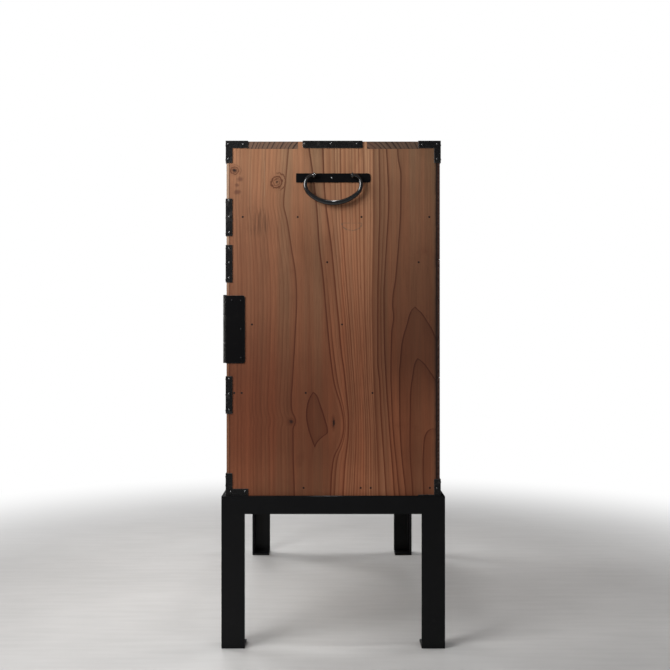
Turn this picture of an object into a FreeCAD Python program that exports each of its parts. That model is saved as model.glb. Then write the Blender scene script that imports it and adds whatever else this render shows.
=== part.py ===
import FreeCAD, Part
import math
import os

# Small tansu chest: a cedar case with four rows of drawers and a cupboard, on a stand of angle steel.
# +Z is up and -Y is the front. The origin is on the floor, under the middle of the stand.

V = FreeCAD.Vector
ACROSS = V(1, 0, 0)
BACKWARD = V(0, 1, 0)
UP = V(0, 0, 1)

# ---------------------------------------------------------------- driving sizes, in millimetres

SHAKU = 303.0  # the joiner's foot that the case is laid out in

case_width = 2.3 * SHAKU
case_height = 2.0 * SHAKU
case_depth = 365.0
side_thickness = 15.0
top_thickness = 12.5
shelf_thickness = 12.0
facing_thickness = 4.5
back_thickness = 6.5
bottom_thickness = 16.0
base_rail_height = 21.0
base_rail_depth = 18.0
housing_depth = 4.0
back_board_count = 3
back_board_gap = 0.8

stand_height = 259.0
stand_ledge = 8.0  # how far the stand shows round the case
leg_flange = 40.0
leg_wall = 4.0
rail_flange = 30.0
rail_wall = 3.0
foot_thickness = 4.0

# middle heights of the shelves above the underside of the case
height_under_cupboard = 176.5
height_over_cupboard = 400.0
height_under_top_drawer = 477.5
height_cupboard_shelf = 293.5
cupboard_width = 280.0

# middle heights of the front edge straps, which sit a little lower than their shelves
strap_under_cupboard = 172.3
strap_over_cupboard = 396.9
strap_under_top_drawer = 476.2

# box joint between the top board and each side board
front_finger = 31.5
rear_finger = 28.0
middle_finger = 118.0
middle_finger_offset = -1.2

drawer_front_thickness = 15.0
drawer_front_lap = 6.0
drawer_wall = 8.0
drawer_bottom = 5.0
drawer_reveal = 1.0
drawer_side_gap = 0.8
drawer_top_gap = 1.2
drawer_back_gap = 1.5
drawer_wall_drop = 2.0

door_stile = 38.0
door_panel_thickness = 7.0
door_panel_tongue = 5.0
door_gap = 0.8

iron = 1.5  # thickness of every iron plate
arm = 37.0  # arm of a corner iron
arm_width = 11.6
bracket_leaf = 10.0
stile_leaf = 13.0
low_arm_width = 12.0
rear_low_arm_width = 2.0
rear_low_arm = 28.5
edge_strap_height = 64.0
top_strap_length = 102.5
top_strap_leaf = 20.0
strap_corner = 3.0

hinge_height = 116.0
hinge_height_over_case = 284.5
hinge_side_leaf = 31.5
hinge_door_leaf = 36.0
hinge_corner = 4.0
barrel_radius = 3.7
pin_radius = 2.0
pin_fit = 0.08
barrel_end_length = 35.0
barrel_end_gap = 0.4

eye_thickness = 3.0
eye_rim = 2.4
eye_fit = 0.2
eye_flats = 8
shank_width = 3.2
shank_fit = 0.1
clinch_length = 9.0
clinch_thickness = 1.5
clinch_notch_width = 12.0
clinch_notch_depth = 3.0
washer_radius = 10.0
washer_crown = 2.0
washer_bevel = 1.2
washer_flats = 10
rod_flats = 6
turn_step = 20.0  # degrees between two hammered sections of a bail

handle_plate_length = 127.0
handle_plate_height = 15.5
handle_height_over_case = 547.0
handle_standoff = 8.5
handle_half_width = 47.5
handle_drop = 47.0
handle_rod = 2.5
handle_belly = 3.8
handle_shank = 11.0
handle_corner = 4.0
handle_plate_drop = 3.5  # how far the middle of the plate is below the pivots

# shares of half a bail's width
shoulder_share = 0.26
side_arc_share = 0.46
stub_share = 1.6  # length of a bail's straight end in eye thicknesses

pull_standoff = 8.0
pull_half_width = 36.0
pull_drop = 36.0
pull_rod = 2.1
pull_belly = 3.1
pull_quarter = 0.25  # a pair of pulls sits this share of the drawer's width in from each end
pull_raise = 9.0  # how far the pivot is above the middle of a drawer front

ring_radius = 15.0
ring_rod = 2.1
ring_sections = 20

# ---------------------------------------------------------------- sizes worked out from them

half_width = case_width / 2
inner_half = half_width - side_thickness
front = -case_depth / 2
back = case_depth / 2
board_front = front + facing_thickness
board_back = back - back_thickness
base = stand_height
top = base + case_height
under_top = top - top_thickness
case_floor = base + base_rail_height

stand_half_width = half_width + stand_ledge
stand_half_depth = back + stand_ledge

z_under_cupboard = base + height_under_cupboard
z_over_cupboard = base + height_over_cupboard
z_under_top_drawer = base + height_under_top_drawer
z_cupboard_shelf = base + height_cupboard_shelf
z_left_shelf = (z_under_cupboard + z_over_cupboard) / 2
half_shelf = shelf_thickness / 2

divider_right = inner_half - cupboard_width
divider_left = divider_right - shelf_thickness

finger_front_end = board_front + front_finger
finger_middle_start = middle_finger_offset - middle_finger / 2
finger_middle_end = middle_finger_offset + middle_finger / 2
finger_rear_start = board_back - rear_finger

drawer_face = front + drawer_reveal
drawer_inside = drawer_face + drawer_front_thickness
drawer_rear = board_back - drawer_back_gap

hinge_middle = base + hinge_height_over_case
hinge_axis = V(inner_half - door_gap / 2, front - barrel_radius, hinge_middle)
handle_z = base + handle_height_over_case

# the spaces that the drawers and the door fill: left, right, bottom, top
top_row = (-inner_half, inner_half, z_under_top_drawer + half_shelf, under_top)
shallow_row = (-inner_half, inner_half, z_over_cupboard + half_shelf, z_under_top_drawer - half_shelf)
upper_left = (-inner_half, divider_left, z_left_shelf + half_shelf, z_over_cupboard - half_shelf)
lower_left = (-inner_half, divider_left, z_under_cupboard + half_shelf, z_left_shelf - half_shelf)
bottom_row = (-inner_half, inner_half, case_floor, z_under_cupboard - half_shelf)
door_space = (divider_right, inner_half, z_under_cupboard + half_shelf, z_over_cupboard - half_shelf)


# ---------------------------------------------------------------- general shapes

def block(x0, x1, y0, y1, z0, z1):
    """Box between two opposite corners."""
    return Part.makeBox(x1 - x0, y1 - y0, z1 - z0, V(x0, y0, z0))


def group(solids):
    """Separate solids kept together in one node."""
    return Part.makeCompound(solids)


def joined(first, others):
    """One solid from pieces that touch or overlap."""
    return first.multiFuse(others).removeSplitter()


def to_left(shape):
    """The same shape on the left side of the chest."""
    return shape.mirror(V(0, 0, 0), ACROSS)


def to_rear(shape):
    """The same shape at the back of the chest."""
    return shape.mirror(V(0, 0, 0), BACKWARD)


def turned(shape, quarter_turns, place):
    """The shape turned about the upright axis by quarter turns, then moved to a place."""
    result = shape.copy()
    result.rotate(V(0, 0, 0), UP, 90 * quarter_turns)
    result.translate(place)
    return result


def rounded(solid, radius, direction, picked):
    """Rounds the straight edges that run along a direction and whose middle is picked."""
    edges = []
    for edge in solid.Edges:
        run = edge.Vertexes[-1].Point - edge.Vertexes[0].Point
        if run.Length > 0 and abs(run.dot(direction)) > 0.999 * run.Length and picked(edge.CenterOfMass):
            edges.append(edge)
    return solid.makeFillet(radius, edges)


def segment(start, end):
    """Straight edge."""
    return Part.LineSegment(start, end).toShape()


def bend(centre, first, second, radius, from_degrees, to_degrees):
    """Arc about a centre, in the plane of two unit vectors, with angles counted from the first."""
    points = []
    for share in (0.0, 0.5, 1.0):
        angle = math.radians(from_degrees + share * (to_degrees - from_degrees))
        points.append(centre + first * (radius * math.cos(angle)) + second * (radius * math.sin(angle)))
    return Part.Arc(*points).toShape()


def corners(count, centre, first, second, radius):
    """Corners of a regular polygon on a circle, with a flat towards the first direction."""
    points = []
    for number in range(count):
        angle = 2 * math.pi * (number + 0.5) / count
        points.append(centre + first * (radius * math.cos(angle)) + second * (radius * math.sin(angle)))
    return points


def polygon_face(points):
    """Flat face with straight edges between the points."""
    return Part.Face(Part.makePolygon(points + [points[0]]))


def flat_prism(count, centre, first, second, radius, run):
    """Regular prism swept by the vector run."""
    return polygon_face(corners(count, centre, first, second, radius)).extrude(run)


def hammered_bar(sections, closed):
    """Solid bar through sections with the same number of corners, with a pair of flats for each side."""
    faces = []
    pairs = list(zip(sections, sections[1:]))
    if closed:
        pairs.append((sections[-1], sections[0]))
    else:
        faces += [polygon_face(sections[0]), polygon_face(sections[-1])]
    for near, far in pairs:
        for number in range(len(near)):
            following = (number + 1) % len(near)
            faces.append(polygon_face([near[number], near[following], far[following]]))
            faces.append(polygon_face([near[number], far[following], far[number]]))
    return Part.makeSolid(Part.makeShell(faces))


def shank_hole(place, depth):
    """Square hole for the shank of an eye, from a place on a face that looks to -Y."""
    half = shank_width / 2 + shank_fit
    return block(
        place.x - half, place.x + half,
        place.y, place.y + depth,
        place.z - half, place.z + half,
    )


def angle_bar(corner, first, second, run, flange, wall):
    """Rolled angle bar with its outer corner at a point, one flange along each unit vector.

    The inside corner has a root fillet as large as the wall, and each toe is rounded to half of it.
    """
    root = wall
    toe = wall / 2

    def at(u, v):
        return corner + first * u + second * v

    outline = [
        segment(at(0, 0), at(flange, 0)),
        segment(at(flange, 0), at(flange, wall - toe)),
        bend(at(flange - toe, wall - toe), first, second, toe, 0, 90),
        segment(at(flange - toe, wall), at(wall + root, wall)),
        bend(at(wall + root, wall + root), first, second, root, 270, 180),
        segment(at(wall, wall + root), at(wall, flange - toe)),
        bend(at(wall - toe, flange - toe), first, second, toe, 0, 90),
        segment(at(wall - toe, flange), at(0, flange)),
        segment(at(0, flange), at(0, 0)),
    ]
    return Part.Face(Part.Wire(outline)).extrude(run)


def folded_plate(edge, first, second, first_leaf, second_leaf, run):
    """Iron plate folded over a wooden edge: one leaf lies along each unit vector, outside the wood."""

    def at(u, v):
        return edge + first * u + second * v

    points = [
        at(-iron, -iron),
        at(first_leaf, -iron),
        at(first_leaf, 0),
        at(0, 0),
        at(0, second_leaf),
        at(-iron, second_leaf),
        at(-iron, -iron),
    ]
    return Part.Face(Part.makePolygon(points)).extrude(run)


# ---------------------------------------------------------------- stand

def stand_rail(length):
    """Front rail of the stand, with its top outer edge on the X axis.

    The top flange is mitred at both ends and lies on the legs. The upright flange fits between the legs.
    """
    half = length / 2
    bar = angle_bar(V(-half, 0, 0), BACKWARD, V(0, 0, -1), ACROSS * length, rail_flange, rail_wall)
    mitred = Part.makePolygon([
        V(-half, 0, 0),
        V(half, 0, 0),
        V(half - rail_flange, rail_flange, 0),
        V(rail_flange - half, rail_flange, 0),
        V(-half, 0, 0),
    ])
    bar = bar.common(Part.Face(mitred).extrude(V(0, 0, -rail_flange)))
    between_legs = half - leg_flange
    notches = [
        block(-half, -between_legs, 0, rail_flange, -rail_flange, -rail_wall),
        block(between_legs, half, 0, rail_flange, -rail_flange, -rail_wall),
    ]
    return bar.cut(group(notches)).Solids[0]


def stand_leg():
    """Leg of the stand, with its outer corner on the Z axis and its flanges along +X and +Y."""
    length = stand_height - rail_wall - foot_thickness
    return angle_bar(V(0, 0, foot_thickness), ACROSS, BACKWARD, UP * length, leg_flange, leg_wall)


def stand_foot():
    """Square foot plate welded under a leg."""
    return block(0, leg_flange, 0, leg_flange, 0, foot_thickness)


def stand_nodes():
    """Rails, legs and foot plates. Each corner is a quarter turn on from the one before."""
    long_rail = stand_rail(2 * stand_half_width)
    short_rail = stand_rail(2 * stand_half_depth)
    sides = {
        "front": (long_rail, 0, V(0, -stand_half_depth, stand_height)),
        "right": (short_rail, 1, V(stand_half_width, 0, stand_height)),
        "rear": (long_rail, 2, V(0, stand_half_depth, stand_height)),
        "left": (short_rail, 3, V(-stand_half_width, 0, stand_height)),
    }
    leg_places = {
        "front_left": (0, V(-stand_half_width, -stand_half_depth, 0)),
        "front_right": (1, V(stand_half_width, -stand_half_depth, 0)),
        "rear_right": (2, V(stand_half_width, stand_half_depth, 0)),
        "rear_left": (3, V(-stand_half_width, stand_half_depth, 0)),
    }
    nodes = {}
    for name, (rail, turns, place) in sides.items():
        nodes["stand_rail_" + name] = turned(rail, turns, place)
    for name, (turns, place) in leg_places.items():
        nodes["stand_leg_" + name] = turned(stand_leg(), turns, place)
    feet = [turned(stand_foot(), turns, place) for turns, place in leg_places.values()]
    nodes["stand_foot_plates"] = group(feet)
    return nodes


# ---------------------------------------------------------------- case

def housing(z_middle, y_start):
    """Groove in the inner face of the right side board for a shelf."""
    return block(
        inner_half, inner_half + housing_depth,
        y_start, board_back,
        z_middle - half_shelf, z_middle + half_shelf,
    )


def side_board(shelves):
    """Right side board: three fingers at the top edge, and a groove for each shelf and for the bottom."""
    board = block(inner_half, half_width, board_front, board_back, base, top)
    cuts = [
        block(inner_half, half_width, finger_front_end, finger_middle_start, under_top, top),
        block(inner_half, half_width, finger_middle_end, finger_rear_start, under_top, top),
        block(
            inner_half, inner_half + housing_depth,
            front + base_rail_depth, board_back,
            case_floor - bottom_thickness, case_floor,
        ),
    ]
    for z_middle, y_start in shelves:
        cuts.append(housing(z_middle, y_start))
    for side in (-1, 1):
        hole = shank_hole(ACROSS * (side * handle_eye_place()), handle_shank)
        cuts.append(facing_right(hole, 0))
    return board.cut(group(cuts))


def top_board():
    """Top board with two tabs at each end that fill the gaps between the fingers of the sides."""
    board = block(-inner_half, inner_half, board_front, board_back, under_top, top)
    tabs = []
    for start, end in ((finger_front_end, finger_middle_start), (finger_middle_end, finger_rear_start)):
        tabs.append(block(-half_width, half_width, start, end, under_top, top))
    return joined(board, tabs)


def bottom_board():
    """Bottom board behind the base rail, housed in both sides."""
    reach = inner_half + housing_depth
    return block(-reach, reach, front + base_rail_depth, board_back, case_floor - bottom_thickness, case_floor)


def base_rail():
    """Rail under the bottom drawer, flush with the front of the case."""
    return block(-inner_half, inner_half, front, front + base_rail_depth, base, case_floor)


def facing_strips():
    """Strips on the front edges of the top board and of both sides."""
    over = block(-half_width, half_width, front, board_front, under_top, top)
    right = block(inner_half, half_width, front, board_front, base, under_top)
    return group([over, right, to_left(right)])


def back_boards():
    """Level boards nailed over the rear edges, with a fine gap between them."""
    height = (case_height - back_board_gap * (back_board_count - 1)) / back_board_count
    boards = []
    for number in range(back_board_count):
        start = base + number * (height + back_board_gap)
        boards.append(block(-half_width, half_width, board_back, back, start, start + height))
    return group(boards)


def shelf(z_middle):
    """Shelf across the whole case: housed in the sides, with a nose that comes forward between the strips."""
    reach = inner_half + housing_depth
    housed = block(-reach, reach, board_front, board_back, z_middle - half_shelf, z_middle + half_shelf)
    nose = block(-inner_half, inner_half, front, board_front, z_middle - half_shelf, z_middle + half_shelf)
    return joined(housed, [nose])


def divider_slot():
    """The space of the divider, with the parts that enter the shelves above and below it."""
    low = z_under_cupboard + half_shelf - housing_depth
    high = z_over_cupboard - half_shelf + housing_depth
    return block(divider_left, divider_right, front, board_back, low, high)


def left_drawer_shelf():
    """Shelf between the two left drawers, housed in the left side and in the divider."""
    low = z_left_shelf - half_shelf
    high = z_left_shelf + half_shelf
    housed = block(-inner_half - housing_depth, -inner_half, board_front, board_back, low, high)
    body = block(-inner_half, divider_left + housing_depth, front, board_back, low, high)
    return joined(body, [housed])


def cupboard_shelf():
    """Shelf inside the cupboard. Its front edge is what the closed door stops against.

    A notch in that edge leaves room for the clinched legs of the door's eye.
    """
    low = z_cupboard_shelf - half_shelf
    high = z_cupboard_shelf + half_shelf
    left = divider_right - housing_depth
    start = cupboard_shelf_front()
    board = block(left, inner_half + housing_depth, start, board_back, low, high)
    middle = door_eye_place()
    half_notch = clinch_notch_width / 2
    return board.cut(block(
        middle.x - half_notch, middle.x + half_notch, start, start + clinch_notch_depth, low, high))


def cupboard_shelf_front():
    """Just behind the closed door."""
    return drawer_inside + door_gap / 2


def case_nodes():
    """The wooden case."""
    across = [(z, board_front) for z in (z_under_cupboard, z_over_cupboard, z_under_top_drawer)]
    right = side_board(across + [(z_cupboard_shelf, cupboard_shelf_front())])
    left = to_left(side_board(across + [(z_left_shelf, board_front)]))
    divider = divider_slot()
    return {
        "side_board_right": right,
        "side_board_left": left,
        "top_board": top_board(),
        "bottom_board": bottom_board(),
        "base_rail": base_rail(),
        "front_facing_strips": facing_strips(),
        "back_boards": back_boards(),
        "shelf_under_top_drawer": shelf(z_under_top_drawer),
        "shelf_over_cupboard": shelf(z_over_cupboard).cut(divider),
        "shelf_under_cupboard": shelf(z_under_cupboard).cut(divider),
        "cupboard_divider": divider.cut(group([left_drawer_shelf(), cupboard_shelf()])),
        "left_drawer_shelf": left_drawer_shelf(),
        "cupboard_shelf": cupboard_shelf(),
    }


# ---------------------------------------------------------------- fixed irons

def top_corner_iron(upright_leaf, side_arm_width):
    """Corner iron at the top front right corner: three folded arms that meet over the corner."""
    corner = V(half_width, front, top)
    upright = folded_plate(
        corner - UP * arm, BACKWARD, -ACROSS, upright_leaf, stile_leaf, UP * (arm + iron))
    along_side = folded_plate(
        corner - BACKWARD * iron, -UP, -ACROSS, side_arm_width, arm_width, BACKWARD * (arm + iron))
    along_front = folded_plate(
        corner + ACROSS * iron, -UP, BACKWARD, top_thickness, arm_width, -ACROSS * (arm + iron))
    return joined(upright, [along_side, along_front])


def low_corner_iron(height, side_width, side_arm, side_arm_width):
    """Corner iron at the bottom front right corner, folded round the upright edge with two low arms."""
    corner = V(half_width, front, base)
    upright = folded_plate(corner, BACKWARD, -ACROSS, side_width, stile_leaf, UP * height)
    side_strip = block(half_width, half_width + iron, front, front + side_arm, base, base + side_arm_width)
    face_strip = block(half_width - arm, half_width, front - iron, front, base, base + side_arm_width)
    return joined(upright, [side_strip, face_strip])


def both_sides(solids):
    """The solids and their mirror images on the left side, as one node."""
    return group(solids + [to_left(solid) for solid in solids])


def top_edge_strap():
    """Strap folded over the top edge at the middle of the side, with rounded ends on the side leaf."""
    start = V(half_width, middle_finger_offset - top_strap_length / 2, top)
    strap = folded_plate(start, -UP, -ACROSS, arm_width, top_strap_leaf, BACKWARD * top_strap_length)
    return rounded(strap, strap_corner, ACROSS, lambda middle: middle.z < top - arm_width + iron / 4)


def front_edge_strap(z_middle):
    """Strap folded over the front edge where a shelf meets the side."""
    start = V(half_width, front, z_middle - edge_strap_height / 2)
    return folded_plate(start, BACKWARD, -ACROSS, bracket_leaf, stile_leaf, UP * edge_strap_height)


def handle_plate():
    """Long plate behind the carrying handle, square at the front end and rounded at the rear end."""
    half = handle_plate_length / 2
    low = handle_z - handle_plate_drop - handle_plate_height / 2
    plate = block(half_width, half_width + iron, -half, half, low, low + handle_plate_height)
    plate = rounded(plate, handle_corner, ACROSS, lambda middle: middle.y > half - iron)
    holes = []
    for side in (-1, 1):
        hole = shank_hole(V(side * handle_eye_place(), -iron, 0), iron)
        holes.append(facing_right(hole, 0))
    return plate.cut(group(holes))


def barrel(z_start, z_end):
    """Stretch of the hinge barrel, bored for the pin."""
    at = V(hinge_axis.x, hinge_axis.y, z_start)
    outside = Part.makeCylinder(barrel_radius, z_end - z_start, at, UP)
    return outside, Part.makeCylinder(pin_radius + pin_fit, z_end - z_start, at, UP)


def hinge_case_leaf():
    """Hinge leaf folded round the corner of the case, with the two end stretches of the barrel."""
    low = hinge_middle - hinge_height / 2
    high = low + hinge_height
    middle_low = low + barrel_end_length
    middle_high = high - barrel_end_length
    reach = half_width - hinge_axis.x
    plate = folded_plate(
        V(half_width, front, low), BACKWARD, -ACROSS, hinge_side_leaf, reach, UP * hinge_height)
    far_edge = front + hinge_side_leaf - iron / 4
    plate = rounded(plate, hinge_corner, ACROSS, lambda middle: middle.y > far_edge)
    barrel_room = hinge_axis.x + barrel_radius + barrel_end_gap
    plate = plate.cut(block(
        hinge_axis.x - iron, barrel_room, front - iron, front,
        middle_low - barrel_end_gap, middle_high + barrel_end_gap,
    ))
    ends = [barrel(low, middle_low - barrel_end_gap), barrel(middle_high + barrel_end_gap, high)]
    leaf = joined(plate, [outside for outside, bore in ends])
    return leaf.cut(group([bore for outside, bore in ends]))


def hinge_pin():
    """Hinge pin through the whole barrel, with a low round head at the top."""
    low = V(hinge_axis.x, hinge_axis.y, hinge_middle - hinge_height / 2)
    pin = Part.makeCylinder(pin_radius, hinge_height, low, UP)
    head = Part.makeCylinder(barrel_radius - pin_fit, iron, low + UP * hinge_height, UP)
    return joined(pin, [head])


def fixed_iron_nodes():
    """Irons that stay on the case."""
    strap_heights = (strap_under_cupboard, strap_over_cupboard, strap_under_top_drawer)
    front_straps = [front_edge_strap(base + height) for height in strap_heights]
    left_only = to_left(front_edge_strap(z_left_shelf))
    top_front = top_corner_iron(bracket_leaf, arm_width)
    low_front = low_corner_iron(arm + iron, bracket_leaf, arm, low_arm_width)
    low_rear = to_rear(low_corner_iron(rear_low_arm, bracket_leaf, arm, rear_low_arm_width))
    eye = handle_eye()
    eyes = [eye.translated(BACKWARD * (side * handle_eye_place())) for side in (-1, 1)]
    return {
        "top_corner_irons": both_sides([top_front, to_rear(top_front)]),
        "bottom_corner_irons": both_sides([low_front, low_rear]),
        "top_edge_straps": both_sides([top_edge_strap()]),
        "front_edge_straps": group(front_straps + [to_left(strap) for strap in front_straps] + [left_only]),
        "side_handle_plates": both_sides([handle_plate()]),
        "side_handle_eyes": both_sides(eyes),
        "hinge_case_leaf": hinge_case_leaf(),
        "hinge_pin": hinge_pin(),
    }


# ---------------------------------------------------------------- eyes, bails and the ring

def eye_pin(rod, standoff, shank, clinched):
    """Eye pin that stands out of a face at y = 0 towards -Y, with its hole along X.

    The eye is forged flat with hammered sides, and its hole is a little wider than the rod in it.
    The square shank goes into the wood. A clinched shank goes right through, and its two legs are
    bent flat on the inner face.
    """
    hole = rod + eye_fit
    rim = hole + eye_rim
    centre = V(-eye_thickness / 2, -standoff, 0)
    ring = flat_prism(eye_flats, centre, BACKWARD, UP, rim, ACROSS * eye_thickness)
    neck_start = -standoff + (hole + rim) / 2
    half = shank_width / 2
    pieces = [block(-half, half, neck_start, shank, -half, half)]
    if clinched:
        pieces.append(block(-half, half, shank, shank + clinch_thickness, -clinch_length, clinch_length))
    bore = Part.makeCylinder(hole, 2 * shank_width, centre - ACROSS * half, ACROSS)
    return joined(ring, pieces).cut(bore)


def washer():
    """Low washer with a bevelled rim on a face at y = 0, under an eye."""
    disc = flat_prism(washer_flats, V(0, 0, 0), ACROSS, UP, washer_radius, -BACKWARD * washer_crown)
    bevelled = [edge for edge in disc.Edges if edge.BoundBox.YMax < -washer_crown / 2]
    disc = disc.makeChamfer(washer_bevel, bevelled)
    return disc.cut(shank_hole(V(0, -washer_crown, 0), washer_crown))


def arc_stations(centre, radius, from_degrees, to_degrees):
    """Points and headings along an arc of a bail, one for each step of its turn, without its start."""
    count = math.ceil(abs(to_degrees - from_degrees) / turn_step)
    stations = []
    for number in range(1, count + 1):
        degrees = from_degrees + (to_degrees - from_degrees) * number / count
        angle = math.radians(degrees)
        outward = V(math.cos(angle), 0, math.sin(angle))
        stations.append((centre + outward * radius, outward))
    return stations


def bail_stations(half_span, drop):
    """Right half of a bail's centre line with its outward directions, from the pivot to the lowest point.

    The end runs out through the eye, turns down in a shoulder, and then follows half an oval made of
    a tight side arc and a wide bottom arc. Both arcs share their tangent where they meet.
    """
    shoulder = shoulder_share * half_span
    side = side_arc_share * half_span
    depth = drop - shoulder
    inset = half_span - side
    wide = (inset ** 2 + depth ** 2 - side ** 2) / (2 * (depth - side))
    meeting = math.degrees(math.atan2(wide - depth, inset))
    stub_end = half_span - shoulder
    stations = [(V(stub_end - stub_share * eye_thickness, 0, 0), UP), (V(stub_end, 0, 0), UP)]
    stations += arc_stations(V(stub_end, 0, -shoulder), shoulder, 90, 0)
    stations += arc_stations(V(inset, 0, -shoulder), side, 0, -meeting)
    stations += arc_stations(V(0, 0, wide - drop), wide, -meeting, -90)
    return stations


def bail(half_span, drop, rod, belly):
    """Forged bail that hangs from the X axis in the plane y = 0.

    Flat-sided sections follow the centre line. Below the pivots they swell towards the middle,
    in step with the depth below the shoulders.
    """
    shoulder = shoulder_share * half_span
    right = []
    for point, outward in bail_stations(half_span, drop):
        depth = max(0.0, -point.z - shoulder) / (drop - shoulder)
        radius = rod + (belly - rod) * depth ** 2
        right.append(corners(rod_flats, point, outward, BACKWARD, radius))
    left = [[mirrored_x(corner) for corner in section] for section in right[:-1]]
    return hammered_bar(right + list(reversed(left)), False)


def mirrored_x(vector):
    """The vector on the other side of the plane x = 0."""
    return V(-vector.x, vector.y, vector.z)


def bail_eye_place(half_span):
    """How far each eye is from the middle of its bail: over the middle of the straight stub."""
    return half_span * (1 - shoulder_share) - stub_share * eye_thickness / 2


def handle_eye_place():
    """How far each eye of a carrying handle is from the middle of the side."""
    return bail_eye_place(handle_half_width)


def facing_right(shape, out):
    """A shape made for the face y = 0 looking to -Y, moved to the right side of the case."""
    return turned(shape, 1, V(half_width + out, 0, handle_z))


def handle_eye():
    """Eye of the right carrying handle, at the middle of the side."""
    return facing_right(eye_pin(handle_rod, handle_standoff, handle_shank, False), 0)


def side_bail():
    """Carrying handle on the right side, hanging down."""
    return facing_right(bail(handle_half_width, handle_drop, handle_rod, handle_belly), handle_standoff)


def door_ring():
    """Ring that hangs from the door's eye, with the hinge axis on X."""
    middle = V(0, 0, -ring_radius)
    sections = []
    for number in range(ring_sections):
        angle = 2 * math.pi * number / ring_sections
        outward = V(math.sin(angle), 0, math.cos(angle))
        sections.append(corners(rod_flats, middle + outward * ring_radius, outward, BACKWARD, ring_rod))
    return hammered_bar(sections, True)


# ---------------------------------------------------------------- drawers

def fingers(low, high, count, first):
    """Heights of every second finger of a box joint that divides a wall's height into equal parts."""
    step = (high - low) / count
    return [(low + number * step, low + (number + 1) * step) for number in range(first, count, 2)]


def drawer_box(left, right, low, high):
    """Sides and back joined by fingers, over a bottom board."""
    start = drawer_face + drawer_front_lap
    wall_low = low + drawer_bottom
    wall_high = high - drawer_wall_drop
    count = 3 if wall_high - wall_low < 80 else 5
    inner_rear = drawer_rear - drawer_wall
    side_cuts = []
    rear_cuts = []
    for z0, z1 in fingers(wall_low, wall_high, count, 1):
        side_cuts.append(block(left, right, inner_rear, drawer_rear, z0, z1))
    for z0, z1 in fingers(wall_low, wall_high, count, 0):
        rear_cuts.append(block(left, left + drawer_wall, inner_rear, drawer_rear, z0, z1))
        rear_cuts.append(block(right - drawer_wall, right, inner_rear, drawer_rear, z0, z1))
    left_side = block(left, left + drawer_wall, start, drawer_rear, wall_low, wall_high)
    right_side = block(right - drawer_wall, right, start, drawer_rear, wall_low, wall_high)
    rear = block(left, right, inner_rear, drawer_rear, wall_low, wall_high)
    bottom = block(left, right, start, drawer_rear, low, wall_low)
    return group([
        left_side.cut(group(side_cuts)),
        right_side.cut(group(side_cuts)),
        rear.cut(group(rear_cuts)),
        bottom,
    ])


def drawer_front(left, right, low, high, eyes):
    """Front board, rebated for the sides and the bottom, and bored for the eyes."""
    lap = drawer_face + drawer_front_lap
    board = block(left, right, drawer_face, drawer_inside, low, high)
    wall_high = high - drawer_wall_drop
    cuts = [
        block(left, left + drawer_wall, lap, drawer_inside, low, wall_high),
        block(right - drawer_wall, right, lap, drawer_inside, low, wall_high),
        block(left, right, lap, drawer_inside, low, low + drawer_bottom),
    ]
    for eye in eyes:
        cuts.append(shank_hole(eye, drawer_front_thickness))
    return board.cut(group(cuts))


def drawer_nodes(name, space, pulls):
    """Front, box, eyes with washers, and bails of one drawer. pulls names each bail and its place."""
    left = space[0] + drawer_side_gap
    right = space[1] - drawer_side_gap
    low = space[2]
    high = space[3] - drawer_top_gap
    pivot_z = (low + high) / 2 + pull_raise
    reach = bail_eye_place(pull_half_width)
    eyes = []
    nodes = {}
    for label, share in pulls.items():
        middle = V(left + share * (right - left), drawer_face, pivot_z)
        eyes += [middle - ACROSS * reach, middle + ACROSS * reach]
        hanging = bail(pull_half_width, pull_drop, pull_rod, pull_belly)
        nodes[name + "_drawer_bail" + label] = hanging.translated(middle - BACKWARD * pull_standoff)
    pin = eye_pin(pull_rod, pull_standoff, drawer_front_thickness, True)
    fittings = []
    for eye in eyes:
        fittings += [pin.translated(eye), washer().translated(eye)]
    nodes[name + "_drawer_front"] = drawer_front(left, right, low, high, eyes)
    nodes[name + "_drawer_box"] = drawer_box(left, right, low, high)
    nodes[name + "_drawer_eyes"] = group(fittings)
    return nodes


def all_drawer_nodes():
    """The five drawers. The wide ones have a pair of bails."""
    pair = {"_left": pull_quarter, "_right": 1 - pull_quarter}
    single = {"": 0.5}
    nodes = {}
    nodes.update(drawer_nodes("top", top_row, pair))
    nodes.update(drawer_nodes("shallow", shallow_row, pair))
    nodes.update(drawer_nodes("upper_left", upper_left, single))
    nodes.update(drawer_nodes("lower_left", lower_left, single))
    nodes.update(drawer_nodes("bottom", bottom_row, pair))
    return nodes


# ---------------------------------------------------------------- door

def door_eye_place():
    """Where the shank of the ring's eye enters the face of the door: halfway up its left stile."""
    return V(door_space[0] + door_gap + door_stile / 2, drawer_face, (door_space[2] + door_space[3]) / 2)


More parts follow.
